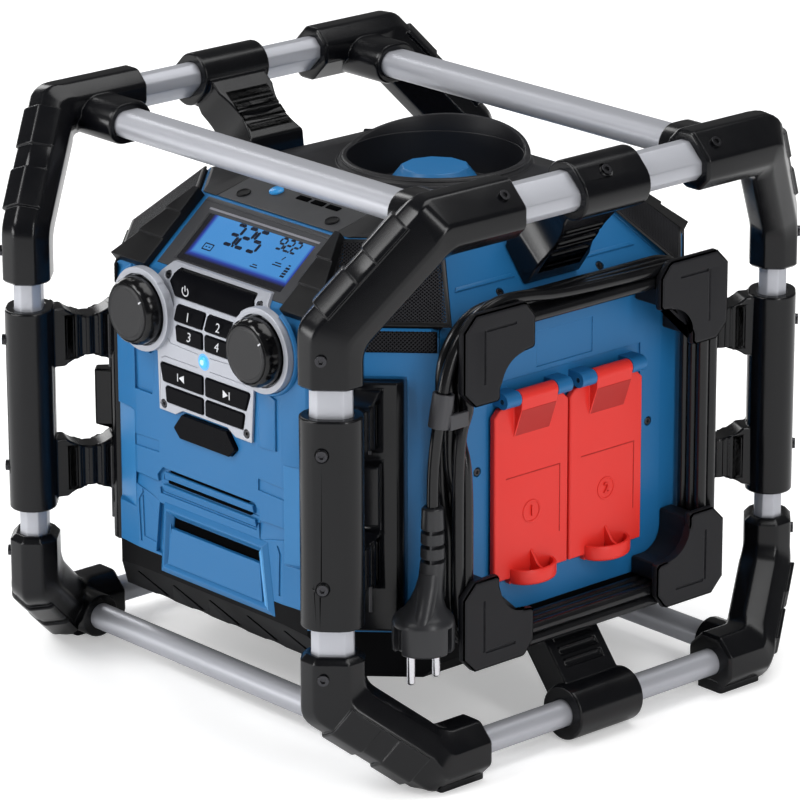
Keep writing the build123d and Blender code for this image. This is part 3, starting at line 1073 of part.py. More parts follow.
def hood_x(z):
    return SIDE_FACE_X + (CROWN_SIDE_X - SIDE_FACE_X) * (z - EAVE_Z) / (CROWN_Z - EAVE_Z)


def top_bracket():
    """A sleeve round the top side tube and an arm down onto the hood."""
    half = CENTRE_SLEEVE_L / 2
    body = run(slot((SIDE_X, -half, SIDE_TOP_Z), (0, 1, 0), SIDE_WIDE, SLEEVE_W, SLEEVE_T), CENTRE_SLEEVE_L)
    z0, z1 = TOP_ARM_FOOT_Z0, TOP_ARM_FOOT_Z1
    arm = [(hood_x(z0) - 4.0, z0), (hood_x(z0) + 1.5, z0 + 3.0), (SIDE_X - 2.0, SIDE_TOP_Z - 16.0),
           (SIDE_X - 16.0, SIDE_TOP_Z + 2.0), (hood_x(z1) + 2.0, z1 + TOP_ARM_RISE), (hood_x(z1), z1 + 2.0),
           (hood_x(z1) - 4.0, z1)]
    plane = Plane(origin=(0, CENTRE_ARM_W / 2, 0), x_dir=(1, 0, 0), z_dir=(0, -1, 0))
    body += extrude(plane * make_face(Polyline(*arm, close=True)), amount=CENTRE_ARM_W)
    body -= form(-SEAM)
    body -= run(slot((SIDE_X, -half - 1.0, SIDE_TOP_Z), (0, 1, 0), SIDE_WIDE, TUBE_W + 2 * SOCKET_FIT,
                     TUBE_T + 2 * SOCKET_FIT), CENTRE_SLEEVE_L + 2.0)
    return body - screw_hole(side_screw_plane(CENTRE_SCREW_Y), SLEEVE_WALL + 1.0)


def bottom_bracket():
    """A sleeve round the bottom side tube and an arm up to the base's side."""
    half = CENTRE_SLEEVE_L / 2
    body = run(slot((SIDE_X, -half, SIDE_LOW_Z), (0, 1, 0), LOW_SIDE_WIDE, LOW_SLEEVE_W - 2.0, LOW_SLEEVE_T - 2.0),
               CENTRE_SLEEVE_L)
    seat = (SIDE_FACE_X - SIDE_TUCK / 2, (BASE_Z + SIDE_TUCK_Z) / 2)
    way = unit(seat[0] - SIDE_X, seat[1] - SIDE_LOW_Z, 0)
    side = (way[1] * LOW_ARM_T / 2, -way[0] * LOW_ARM_T / 2)
    arm = [(SIDE_X + side[0], SIDE_LOW_Z + side[1]), (SIDE_X - side[0], SIDE_LOW_Z - side[1]),
           (seat[0] - side[0], seat[1] - side[1]), (seat[0] + 4.0 * way[0], seat[1] + 4.0 * way[1]),
           (seat[0] + side[0], seat[1] + side[1])]
    plane = Plane(origin=(0, CENTRE_ARM_W / 2, 0), x_dir=(1, 0, 0), z_dir=(0, -1, 0))
    body += extrude(plane * make_face(Polyline(*arm, close=True)), amount=CENTRE_ARM_W)
    body = body & block(-SPAN, SPAN, -SPAN, SPAN, 0.0, COIL_Z0 - 1.5)
    body -= form(-SEAM)
    return body - run(slot((SIDE_X, -half - 1.0, SIDE_LOW_Z), (0, 1, 0), LOW_SIDE_WIDE,
                           LOW_TUBE_D + 2 * SOCKET_FIT, LOW_TUBE_D + 2 * SOCKET_FIT), CENTRE_SLEEVE_L + 2.0)


# ---------------------------------------------------------------- screws in the body

def front_plane(x, z):
    """A plane on the front face at x, z, facing out of it."""
    if z <= BROW_Z:
        return Plane(origin=(x, -FRONT_Y, z), x_dir=(1, 0, 0), z_dir=(0, -1, 0))
    t = (z - BROW_Z) / (LIP_Z - BROW_Z)
    return Plane(origin=(x, -FRONT_Y + LIP_BACK * t, z), x_dir=(1, 0, 0),
                 z_dir=unit(0, -(LIP_Z - BROW_Z), LIP_BACK))


def side_plane(y, z):
    return Plane(origin=(SIDE_FACE_X, y, z), x_dir=(0, 1, 0), z_dir=(1, 0, 0))


def hood_plane(y, z):
    return Plane(origin=(hood_x(z), y, z), x_dir=(0, 1, 0),
                 z_dir=unit(CROWN_Z - EAVE_Z, 0, SIDE_FACE_X - CROWN_SIDE_X))


def hatch_plane(x, y):
    """A plane on the crown's front slope at x, y, facing out of it."""
    rise, back = TOP_Z - CROWN_Z, CROWN_FRONT_Y - CROWN_FLAT_Y
    z = CROWN_Z + rise * (CROWN_FRONT_Y + y) / back
    return Plane(origin=(x, y, z), x_dir=(1, 0, 0), z_dir=unit(0, -rise, back))


def pan_screw(plane, sink=PAN_H):
    """A small pan head, its top face a sink's depth above its seat."""
    head = extrude(plane * Pos(0, 0, -sink) * Circle(PAN_R), amount=PAN_H)
    top = head.faces().sort_by(Axis(plane.origin, plane.z_dir))[-1]
    head = chamfer(top.outer_wire().edges(), 0.5)
    star = extrude(plane * Pos(0, 0, PAN_H - sink - 0.8) * RegularPolygon(PAN_SLOT_R, 6), amount=PAN_H)
    return head - star


def side_planes():
    planes = [side_plane(s * SIDE_SCREW[0], SIDE_SCREW[1]) for s in (1, -1)]
    return planes + [hood_plane(s * HOOD_SCREW[0], HOOD_SCREW[1]) for s in (1, -1)]


def screw_wells(planes):
    wells = Part()
    for plane in planes:
        wells += extrude(plane * Pos(0, 0, -PAN_H) * Circle(PAN_R + 0.4), amount=2 * WALL)
    return wells


def housing_screws():
    side = [pan_screw(plane) for plane in side_planes()]
    screws = side + [mirror(one, about=Plane.YZ) for one in side]
    screws += [pan_screw(front_plane(x, z), 0.0) for x, z in PLATE_SCREWS]
    hatch = hatch_plane(HATCH_SCREW[0], -HATCH_SCREW[1])
    one = pan_screw(hatch)
    return screws + [one, mirror(one, about=Plane.YZ)]


# ---------------------------------------------------------------- inside the body

def speaker_basket():
    """A driver's frame and magnet, its flange under the corner roof."""
    top = WALL + 2 * SEAM
    flange = roof_prism(GRILLE_EDGE - GRILLE_LAP, top + FLANGE_T, -top)
    down = roof_plane(top + FLANGE_T)
    end = roof_plane(top + SPEAKER_DEPTH)
    shell = loft([down * Circle(SPEAKER_R), end * Circle(MAGNET_R + 2.0)], ruled=True)
    magnet = extrude(roof_plane(top + SPEAKER_DEPTH + MAGNET_H) * Circle(MAGNET_R), amount=MAGNET_H)
    hollow = loft([roof_plane(top - 1.0) * Circle(CONE_R),
                   roof_plane(top + SPEAKER_DEPTH - 3.0) * Circle(CONE_CAP_R)], ruled=True)
    return (flange + shell + magnet - hollow) & form(WALL + SEAM)


def speaker_cone():
    """The driver's cone: a rim on the basket's flange and a shallow dish."""
    top = WALL + 2 * SEAM
    rim = extrude(roof_plane(top) * Circle(CONE_R + 1.0), amount=1.0)
    rim -= extrude(roof_plane(top) * Circle(CONE_R - 2.5), amount=1.0)
    outer = loft([roof_plane(top) * Circle(CONE_R - 1.6), roof_plane(top + CONE_DEPTH) * Circle(CONE_CAP_R)],
                 ruled=True)
    inner = loft([roof_plane(top - 0.01) * Circle(CONE_R - 1.6 - CONE_T),
                  roof_plane(top + CONE_DEPTH - CONE_T) * Circle(CONE_CAP_R - CONE_T)], ruled=True)
    return rim + (outer - inner)


def sub_plane(z):
    return Plane(origin=(0, SUB_Y, z))


def subwoofer_basket():
    """The downward driver's frame and magnet, standing on the floor."""
    floor = BASE_Z + WALL
    flange = extrude(sub_plane(floor) * Circle(SUB_R), amount=3.0)
    shell = loft([sub_plane(floor + 3.0) * Circle(SUB_R - 4.0),
                  sub_plane(floor + SUB_DEPTH) * Circle(SUB_MAGNET_R)], ruled=True)
    magnet = extrude(sub_plane(floor + SUB_DEPTH) * Circle(SUB_MAGNET_R), amount=SUB_MAGNET_H)
    hollow = loft([sub_plane(floor - 1.0) * Circle(SUB_CONE_R + 2.0),
                   sub_plane(floor + SUB_DEPTH - 3.0) * Circle(SUB_MAGNET_R - 8.0)], ruled=True)
    return flange + shell + magnet - hollow


def subwoofer_cone():
    floor = BASE_Z + WALL
    rim = extrude(sub_plane(floor) * Circle(SUB_CONE_R), amount=1.2)
    rim -= extrude(sub_plane(floor) * Circle(SUB_CONE_R - 5.0), amount=1.2)
    outer = loft([sub_plane(floor) * Circle(SUB_CONE_R - 3.0),
                  sub_plane(floor + SUB_CONE_DEPTH) * Circle(SUB_CAP_R)], ruled=True)
    inner = loft([sub_plane(floor - 0.01) * Circle(SUB_CONE_R - 3.0 - 2 * CONE_T),
                  sub_plane(floor + SUB_CONE_DEPTH - CONE_T) * Circle(SUB_CAP_R - 2 * CONE_T)], ruled=True)
    return rim + (outer - inner)


def main_board():
    y = -FRONT_Y + WALL + ENCODER_GAP + ENCODER_D
    return block(-BOARD_HALF_X, BOARD_HALF_X, y, y + BOARD_T, BOARD_Z0, BOARD_Z1)


def power_supply():
    z = BASE_Z + WALL
    box = block(-SUPPLY_W / 2, SUPPLY_W / 2, SUPPLY_Y - SUPPLY_D / 2, SUPPLY_Y + SUPPLY_D / 2, z, z + SUPPLY_H)
    box = chamfer(box.edges().filter_by(Axis.Z), 3.0)
    for i in range(-3, 4):
        x = i * 11.0
        box -= block(x - 1.5, x + 1.5, SUPPLY_Y - SUPPLY_D, SUPPLY_Y + SUPPLY_D, z + SUPPLY_H - 4.0, SPAN)
    return box


def battery_pack():
    """A slide-in pack on the rear bay's floor."""
    y1 = FRONT_Y - WALL - 1.0
    pack = block(-PACK_W / 2, PACK_W / 2, y1 - PACK_D, y1, BAY_Z0, BAY_Z0 + PACK_H)
    pack = chamfer(pack.edges().filter_by(Axis.Y), 5.0)
    for sign in (-1, 1):
        x0, x1 = sorted((sign * (PACK_W / 2 - 2.0), sign * PACK_W))
        pack -= block(x0, x1, y1 - PACK_D - 1.0, y1 + 1.0, BAY_Z0 + PACK_H * 0.55, BAY_Z0 + PACK_H * 0.7)
    return pack


# ---------------------------------------------------------------- nodes

def all_quarters(shape):
    return [mirrored(shape, *q) for q in QUARTERS.values()]


def both_sides(shape):
    return [shape, mirror(shape, about=Plane.YZ)]


def write_cage():
    write("post_tubes", *post_tubes())
    write("side_tubes", *side_tubes())
    write("cross_tubes", *cross_tubes())
    write("top_corners", *all_quarters(top_corner()))
    write("bottom_corners", *all_quarters(bottom_corner()))
    write("post_brackets", *all_quarters(post_bracket()))
    write("top_brackets", *both_sides(top_bracket()))
    write("bottom_brackets", *both_sides(bottom_bracket()))
    write("cage_screws", *cage_screws())


def write_body():
    write("front_housing", front_housing())
    write("rear_housing", rear_housing())
    write("right_panel", right_panel())
    write("left_panel", left_panel())
    write("base_tray", base_tray())
    write("crown_cover", crown_cover())
    write("crown_hub", crown_hub())
    write("top_hatch", top_hatch())
    write("corner_guards", *all_quarters(corner_guard()))
    write("speaker_grilles", *all_quarters(speaker_grille()))
    write("housing_screws", *housing_screws())


def write_controls():
    write("display_bezel", display_bezel())
    write("display_window", display_window())
    write("display_module", display_module())
    write("control_plate", control_plate())
    write("status_lens", status_lens())
    write("encoders", encoder(-1), encoder(1))
    write("left_knob", knob(-1))
    write("right_knob", knob(1))
    for name in KEYS:
        write(name, key(name))


def write_outlets():
    for name, y in cover_centres().items():
        write(name, outlet_cover(y))
    write("outlet_sockets", *[outlet_socket(y) for y in cover_centres().values()])
    write("hinge_pins", *outlet_pins(), REAR_PIN, SIDE_PIN)
    write("battery_door", REAR_DOOR)
    write("battery_door_latch", REAR_LATCH)
    write("media_door", SIDE_DOOR)
    write("media_door_latch", SIDE_LATCH)


def write_cord():
    write("cord_hooks", *[hook(sy, top) for sy in (-1, 1) for top in (True, False)])
    write("cord_winding", cord_winding())
    write("cord_tail", cord_tail())
    write("cord_clip", cord_clip())
    write("cord_gland", cord_gland())
    write("plug_body", plug_body())
    write("plug_pins", *plug_pins())


def write_inside():
    write("speaker_baskets", *all_quarters(speaker_basket()))
    write("speaker_cones", *all_quarters(speaker_cone()))
    write("subwoofer_basket", subwoofer_basket())
    write("subwoofer_cone", subwoofer_cone())
    write("main_board", main_board())
    write("power_supply", power_supply())
    write("battery_pack", battery_pack())


def main():
    write_cage()
    write_body()
    write_controls()
    write_outlets()
    write_cord()
    write_inside()


if __name__ == "__main__":
    main()
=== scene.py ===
"""Looks of a jobsite radio in a tube roll cage: mouldings, controls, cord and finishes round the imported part.

Row frame: +X to the outlet side, +Y to the back, +Z up.  Shapes are worked out in millimetres and made in
metres.  The control face looks along -Y.
"""

from math import cos, pi, radians, sin, sqrt, tan

import bmesh
import bpy
from mathutils import Matrix, Vector


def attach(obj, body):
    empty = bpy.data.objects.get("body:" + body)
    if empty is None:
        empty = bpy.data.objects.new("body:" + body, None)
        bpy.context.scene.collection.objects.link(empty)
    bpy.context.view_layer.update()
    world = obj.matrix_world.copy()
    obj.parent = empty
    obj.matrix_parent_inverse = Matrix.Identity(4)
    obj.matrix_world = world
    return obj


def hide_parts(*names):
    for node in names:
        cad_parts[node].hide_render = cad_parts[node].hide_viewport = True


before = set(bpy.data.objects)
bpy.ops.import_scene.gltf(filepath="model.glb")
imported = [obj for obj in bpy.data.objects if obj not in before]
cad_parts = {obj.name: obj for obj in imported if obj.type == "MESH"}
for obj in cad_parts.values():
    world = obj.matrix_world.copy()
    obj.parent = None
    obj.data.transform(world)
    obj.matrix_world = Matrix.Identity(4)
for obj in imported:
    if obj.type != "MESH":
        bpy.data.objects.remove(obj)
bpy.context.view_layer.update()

MM = 0.001
ROOT2 = sqrt(2.0)
X, Y, Z = (1, 0, 0), (0, 1, 0), (0, 0, 1)

# -------- node helpers


def feed(tree, socket, value):
    """Sets a socket to a value, or links another socket to it."""
    if isinstance(value, bpy.types.NodeSocket):
        tree.links.new(value, socket)
    else:
        socket.default_value = value


def node(tree, kind, inputs=None, **settings):
    """A shader node with its settings, its inputs given as values or as sockets to link."""
    made = tree.nodes.new("ShaderNode" + kind)
    for name, value in settings.items():
        setattr(made, name, value)
    for name, value in (inputs or {}).items():
        feed(tree, made.inputs[name], value)
    return made


def maths(tree, operation, a, b):
    return node(tree, "Math", {0: a, 1: b}, operation=operation).outputs[0]


def ranged(tree, value, low, high, out_low=0.0, out_high=1.0):
    inputs = {"Value": value, "From Min": low, "From Max": high, "To Min": out_low, "To Max": out_high}
    return node(tree, "MapRange", inputs).outputs[0]


def mixed(tree, factor, a, b):
    return node(tree, "Mix", {0: factor, 6: a, 7: b}, data_type="RGBA").outputs[2]


def object_point(tree):
    return node(tree, "TexCoord").outputs["Object"]


def noise(tree, scale, detail=2.0, point=None):
    point = object_point(tree) if point is None else point
    return node(tree, "TexNoise", {"Vector": point, "Scale": scale, "Detail": detail}).outputs[0]


def shared_group(name, inputs, fill):
    """A shader group with named value sockets; fill makes its nodes and returns its outputs."""
    tree = bpy.data.node_groups.new(name, "ShaderNodeTree")
    for label, value in inputs.items():
        kind = "NodeSocketVector" if isinstance(value, tuple) else "NodeSocketFloat"
        tree.interface.new_socket(label, in_out="INPUT", socket_type=kind).default_value = value
    results = fill(tree, tree.nodes.new("NodeGroupInput").outputs)
    for label in results:
        tree.interface.new_socket(label, in_out="OUTPUT", socket_type="NodeSocketFloat")
    out = tree.nodes.new("NodeGroupOutput").inputs
    for label, socket in results.items():
        tree.links.new(socket, out[label])
    return tree


def place(tree, shared, **values):
    """A shared group placed in a material, with its own values."""
    return node(tree, "Group", values, node_tree=shared).outputs


def moulded_grain(tree, given):
    """Fine spark-eroded texture, with slow patches of duller and shinier surface."""
    return {"Height": noise(tree, given["Grain"]), "Patches": noise(tree, given["Patch"], 3.0)}


def edge_wear_and_highlight(tree, given):
    """How near a point is to a sharp outer edge, broken up by noise: the mask for edge wear and for painted edge
    highlights.
    """
    face = node(tree, "NewGeometry").outputs["Normal"]
    softer = node(tree, "Bevel", {"Radius": given["Width"]}, samples=4).outputs[0]
    dot = node(tree, "VectorMath", {0: face, 1: softer}, operation="DOT_PRODUCT").outputs["Value"]
    broken = ranged(tree, noise(tree, given["Break"]), 0.35, 0.65)
    return {"Edge": maths(tree, "MULTIPLY", ranged(tree, dot, 0.995, 0.90), broken)}


def brushed(tree, given):
    """Fine lines drawn along a tube: noise that is stretched by Stretch."""
    inputs = {0: object_point(tree), 1: given["Stretch"]}
    along = node(tree, "VectorMath", inputs, operation="MULTIPLY").outputs[0]
    return {"Lines": noise(tree, 1.0, 3.0, along), "Cloud": noise(tree, 14.0)}


def settled_dust(tree, given):
    """Thin dust that settles on faces that look up."""
    normal = node(tree, "NewGeometry").outputs["Normal"]
    facing = ranged(tree, node(tree, "SeparateXYZ", {0: normal}).outputs[2], 0.1, 1.0)
    clumps = ranged(tree, noise(tree, given["Size"], 5.0), 0.4, 0.75)
    return {"Dust": maths(tree, "MULTIPLY", maths(tree, "MULTIPLY", facing, clumps), given["Amount"])}


GRAIN = shared_group("moulded_grain", {"Grain": 1500.0, "Patch": 22.0}, moulded_grain)
WEAR_AND_HIGHLIGHT = shared_group("edge_wear_and_highlight", {"Width": 0.0008, "Break": 260.0}, edge_wear_and_highlight)
BRUSHED = shared_group("brushed", {"Stretch": (1.0, 1.0, 1.0)}, brushed)
DUST = shared_group("dust", {"Amount": 0.1, "Size": 60.0}, settled_dust)
DUST_COLOUR = (0.42, 0.41, 0.39, 1.0)

# -------- materials


def blank_material(name):
    material = bpy.data.materials.new(name)
    material.use_nodes = True
    return material, material.node_tree, material.node_tree.nodes["Principled BSDF"]


def dress(tree, shader, values):
    for name, value in values.items():
        feed(tree, shader.inputs[name], value)


def rounded_bump(tree, height, strength, distance, radius):
    """Surface grain over softly rounded edges."""
    soft = node(tree, "Bevel", {"Radius": radius}, samples=6).outputs[0]
    return node(tree, "Bump", {"Height": height, "Normal": soft, "Strength": strength,
                               "Distance": distance}).outputs[0]


def scaled(colour, share=1.0, more=0.0):
    return (*(min(1.0, c * share + more) for c in colour), 1.0)


def plastic(name, colour, roughness, spec=0.5, grain=1500.0, depth=0.00003, edge_tone=1.35, edge=0.4,
            dust=0.05, radius=0.0006, metallic=0.0):
    """Moulded plastic: grain, soft edges painted lighter (partly wear, mostly painted highlight), slow gloss patches
    and a trace of dust.
    """
    material, tree, shader = blank_material(name)
    surface = place(tree, GRAIN, Grain=grain)
    # Edges are mixed towards a lighter tone set by edge_tone: some edge wear, mostly a painted highlight where edges
    # would catch the light.
    worn_and_lit = maths(tree, "MULTIPLY", place(tree, WEAR_AND_HIGHLIGHT, Width=radius * 1.4)["Edge"], edge)
    base = mixed(tree, worn_and_lit, scaled(colour), scaled(colour, edge_tone, 0.012))
    base = mixed(tree, place(tree, DUST, Amount=dust)["Dust"], base, DUST_COLOUR)
    gloss = ranged(tree, surface["Patches"], 0.3, 0.7, roughness - 0.05, roughness + 0.05)
    dress(tree, shader, {"Base Color": base, "Roughness": gloss, "Metallic": metallic, "Specular IOR Level": spec,
                         "Normal": rounded_bump(tree, surface["Height"], 0.5, depth, radius)})
    return material


def metal(name, colour, roughness, stretch, metallic=1.0):
    """Drawn or machined metal: fine lines along Stretch's small axis."""
    material, tree, shader = blank_material(name)
    drawn = place(tree, BRUSHED, Stretch=stretch)
    dress(tree, shader, {"Base Color": mixed(tree, drawn["Cloud"], scaled(colour, 0.93), scaled(colour)),
                         "Roughness": ranged(tree, drawn["Lines"], 0.3, 0.7, roughness - 0.05, roughness + 0.06),
                         "Normal": rounded_bump(tree, drawn["Lines"], 0.35, 0.00001, 0.0004),
                         "Metallic": metallic})
    return material


def glowing(name, colour, strength):
    """A lit surface with a slightly uneven glow."""
    material, tree, shader = blank_material(name)
    glow = mixed(tree, noise(tree, 120.0), scaled(colour, 0.85), scaled(colour))
    dress(tree, shader, {"Emission Color": glow, "Emission Strength": strength, "Roughness": 0.25,
                         "Base Color": scaled(colour, 0.3)})
    return material


SCREEN_SIZE = (94.0, 35.2)
LIT = ((8.0, 91.0), (8.0, 36.5))        # the backlight's ends on the pane, across and up


def backlit_screen():
    """Blue backlight that turns violet towards the edges of its lit part."""
    material, tree, shader = blank_material("screen")
    spot = node(tree, "SeparateXYZ", {0: node(tree, "UVMap").outputs[0]}).outputs
    depths = []
    for share, size, (start, end) in zip(spot, SCREEN_SIZE, LIT):
        along = maths(tree, "MULTIPLY", share, size)
        depths.append(maths(tree, "MINIMUM", maths(tree, "SUBTRACT", along, start),
                            maths(tree, "SUBTRACT", end, along)))
    inside = maths(tree, "MINIMUM", *depths)
    blue = mixed(tree, noise(tree, 30.0), (0.050, 0.250, 0.600, 1.0), (0.064, 0.285, 0.660, 1.0))
    violet = mixed(tree, ranged(tree, inside, -1.4, 1.0), (0.018, 0.050, 0.400, 1.0), blue)
    glow = mixed(tree, ranged(tree, inside, -3.8, -0.8), (0.0, 0.0, 0.0, 1.0), violet)
    dress(tree, shader, {"Emission Color": glow, "Emission Strength": 0.95, "Roughness": 0.22,
                         "Base Color": (0.010, 0.010, 0.013, 1.0)})
    return material


SHELL = dict(roughness=0.42, spec=0.34, grain=1300.0, depth=0.00004)
TUBE_COLOUR = (0.46, 0.47, 0.51)
# edge_tone: how much lighter the edges are painted; on these black plastics that is mostly painted highlight, with
# some wear.
CAGE = plastic("cage_plastic", (0.0026, 0.0028, 0.0038), 0.21, 0.30, 2200.0, 0.00002, 3.0, radius=0.0009, dust=0.008)
# The ribs are the cage's own black plastic, painted much lighter: a painted highlight along the ribs.
RIB_PAINTED_HIGHLIGHT = plastic("rib_painted_highlight", (0.034, 0.034, 0.038), 0.34, edge_tone=3.0, radius=0.0005, dust=0.0)
# A darker copy of the black shell with less specular: painted shade for the tray, which faces down.
TRAY_PAINTED_SHADE = plastic("tray_plastic_painted_shade", (0.0020, 0.0021, 0.0026), 0.50, 0.07, edge_tone=3.0, dust=0.004)
# Near-black painted shade, laid in the louvre gaps, the port's throat and the hatch slots.
SHADOW = plastic("painted_shade_black", (0.0008, 0.0009, 0.0012), 0.8, 0.02, edge=0.0, dust=0.0)
BLACK_SHELL = plastic("black_shell", (0.0032, 0.0034, 0.0042), 0.42, 0.2, edge_tone=3.0, dust=0.012)
CROWN = plastic("crown_plastic", (0.0065, 0.0065, 0.0082), 0.46, 0.36, edge_tone=5.0, dust=0.012)
GUARD = plastic("guard_plastic", (0.0040, 0.0040, 0.0046), 0.40, 0.3, edge_tone=12.0, edge=0.55, radius=0.0005,
                dust=0.015)
HOOK = plastic("hook_plastic", (0.0080, 0.0080, 0.0100), 0.44, 0.2, 1100.0, 0.00005, 3.5, radius=0.0008, dust=0.008)
BLUE = plastic("blue_shell", (0.0115, 0.126, 0.312), edge_tone=1.6, radius=0.0007, dust=0.008, **SHELL)
# A lighter copy of the blue shell for the sloped corner bands: painted light on facets that catch it.
BLUE_BAND_PAINTED_LIGHT = plastic("blue_shell_band_painted_light", (0.024, 0.160, 0.372), edge_tone=1.3, dust=0.01, **SHELL)
# A much lighter copy of the blue shell: a painted highlight on the port's right reveal.
BLUE_PAINTED_HIGHLIGHT = plastic("blue_shell_painted_highlight", (0.085, 0.300, 0.590), edge_tone=1.3, radius=0.0007, dust=0.0, **SHELL)
GREY = plastic("grey_trim", (0.026, 0.027, 0.031), 0.50, edge_tone=1.8, dust=0.02)
LIP_GREY = plastic("lip_grey", (0.19, 0.19, 0.215), 0.4)
CLIP = plastic("clip_plastic", (0.034, 0.034, 0.039), 0.42, edge_tone=1.6)
RED = plastic("cover_red", (0.70, 0.026, 0.019), 0.42, 0.36, edge_tone=1.25, dust=0.004)
# A darker copy of the cover red: painted shade on the panel lines and on the ramp that tilts down.
RED_PAINTED_SHADE = plastic("cover_red_painted_shade", (0.42, 0.016, 0.012), 0.46, 0.3, edge_tone=1.3, dust=0.0)
RUBBER = plastic("cord_rubber", (0.0045, 0.0046, 0.0056), 0.22, 0.35, 900.0, 0.00001, edge=0.0, dust=0.02)
PLUG = plastic("plug_rubber", (0.0175, 0.018, 0.0205), 0.32, 0.4, edge_tone=2.0, dust=0.01)
KEY = plastic("key_black", (0.0022, 0.0023, 0.0034), 0.30, 0.04, edge_tone=4.0, radius=0.0005, dust=0.0)
KNOB_SKIRT = plastic("knob_black", (0.0022, 0.0022, 0.0028), 0.18, 0.34, edge_tone=6.0, radius=0.0004, dust=0.0)
KNOB_CAP = plastic("knob_cap", (0.0062, 0.0062, 0.0076), 0.40, 0.36, edge_tone=4.0, dust=0.0)
SOCKET = plastic("socket_black", (0.012, 0.012, 0.013), 0.4)
INNER = plastic("inner_parts", (0.09, 0.095, 0.10), 0.6)
DRIVER = plastic("driver_frame", (0.03, 0.03, 0.032), 0.5)
CONE = plastic("cone_black", (0.0030, 0.0030, 0.0034), 0.7, 0.04, 700.0, 0.0002, dust=0.0)
MESH = plastic("grille_mesh", (0.024, 0.024, 0.027), 0.50, 0.06, radius=0.00025, edge=0.0, dust=0.0)
SILVER = plastic("plate_silver", (0.40, 0.415, 0.46), 0.36, grain=3200.0, depth=0.00001, edge_tone=1.25,
                 radius=0.0005, dust=0.0, metallic=0.35)
LEGEND = plastic("legend_white", (0.62, 0.63, 0.66), 0.5, edge=0.0, dust=0.0)
DIGIT = plastic("display_segments", (0.004, 0.008, 0.022), 0.3, edge=0.0, dust=0.0)
BUTTON_BLUE = plastic("button_blue", (0.03, 0.30, 0.70), 0.35)
TUBE_X = metal("tube_metal_across", TUBE_COLOUR, 0.40, (30.0, 2600.0, 2600.0), 0.45)
TUBE_Y = metal("tube_metal_along", TUBE_COLOUR, 0.40, (2600.0, 30.0, 2600.0), 0.45)
TUBE_Z = metal("tube_metal_upright", TUBE_COLOUR, 0.38, (2600.0, 2600.0, 30.0), 0.45)
STEEL = metal("screw_steel", (0.055, 0.055, 0.06), 0.30, (2000.0, 2000.0, 2000.0))
PIN = metal("pin_metal", (0.66, 0.66, 0.69), 0.22, (1800.0, 1800.0, 60.0))
STATUS = glowing("status_blue", (0.06, 0.42, 0.95), 1.3)
HALO = glowing("status_halo", (0.12, 0.42, 0.85), 0.9)
SPARK = glowing("status_spark", (0.45, 0.80, 1.0), 1.0)
SCREEN = backlit_screen()

# -------- mesh helpers


def link(name, data):
    """A new object in the scene."""
    obj = bpy.data.objects.new(name, data)
    bpy.context.scene.collection.objects.link(obj)
    return obj


def keep_object(mesh, name, material, body="root", replaces=()):
    obj = link(name, mesh)
    mesh.materials.append(material)
    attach(obj, body)
    if replaces:
        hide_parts(*replaces)
    return obj


def applied_mesh(obj):
    """A new mesh of an object as its modifiers leave it."""
    graph = bpy.context.evaluated_depsgraph_get()
    return bpy.data.meshes.new_from_object(obj.evaluated_get(graph), depsgraph=graph)


def apply_modifiers(obj):
    mesh = applied_mesh(obj)
    obj.modifiers.clear()
    old, obj.data = obj.data, mesh
    bpy.data.meshes.remove(old)


def shade(obj, angle, even=True):
    """Smooth shading with sharp edges; even lets large faces lead, so that flat faces look flat."""
    obj.data.shade_smooth()
    obj.data.set_sharp_from_angle(angle=radians(angle))
    if even:
        weighted = obj.modifiers.new("even_normals", "WEIGHTED_NORMAL")
        weighted.keep_sharp, weighted.weight = True, 80
        apply_modifiers(obj)


def soften(obj, width, segments, angle, clamp=True):
    """Rounds an object's sharp edges, width in millimetres."""
    rounding = obj.modifiers.new("rounding", "BEVEL")
    rounding.width, rounding.segments = width * MM, segments
    rounding.limit_method, rounding.angle_limit = "ANGLE", radians(angle)
    rounding.use_clamp_overlap = clamp
    apply_modifiers(obj)


class Shape:
    """Vertices in millimetres and faces, gathered from several bodies."""

    def __init__(self):
        self.points, self.faces = [], []

    def add(self, points, faces):
        first = len(self.points)
        self.points += [Vector(p) for p in points]
        self.faces += [tuple(first + i for i in face) for face in faces]
        return self

    def loft(self, rings, close_ends=True):
        """Rings of equally many points, joined side by side."""
        count = len(rings[0])
        faces = []
        for r in range(len(rings) - 1):
            for i in range(count):
                a, b = r * count + i, r * count + (i + 1) % count
                faces.append((a, b, b + count, a + count))
        if close_ends:
            last = (len(rings) - 1) * count
            faces += [tuple(reversed(range(count))), tuple(range(last, last + count))]
        return self.add([p for ring in rings for p in ring], faces)

    def mirrored(self, sx, sy):
        """A copy in another quarter, with its faces turned the right way out."""
        copy = Shape()
        copy.points = [Vector((p[0] * sx, p[1] * sy, p[2])) for p in self.points]
        copy.faces = [tuple(reversed(f)) if sx * sy < 0 else f for f in self.faces]
        return copy

    def everywhere(self, places):
        """The shape together with its copies at other places."""
        whole = Shape()
        for flip in places.values():
            copy = self.mirrored(*flip)
            whole.add(copy.points, copy.faces)
        return whole

    def mesh(self, name, face_out=True):
        made = bpy.data.meshes.new(name)
        made.from_pydata([p * MM for p in self.points], [], self.faces)
        if face_out:
            bm = bmesh.new()
            bm.from_mesh(made)
            bmesh.ops.recalc_face_normals(bm, faces=bm.faces)
            bm.to_mesh(made)
            bm.free()
        return made

    def build(self, name, material, body="root", replaces=(), slot=None, bevel=0.0, segments=2, angle=32.0):
        obj = keep_object(self.mesh(name), name, material, body, replaces)
        if bevel:
            soften(obj, bevel, segments, angle)
        shade(obj, angle, even=bool(bevel))
        return obj


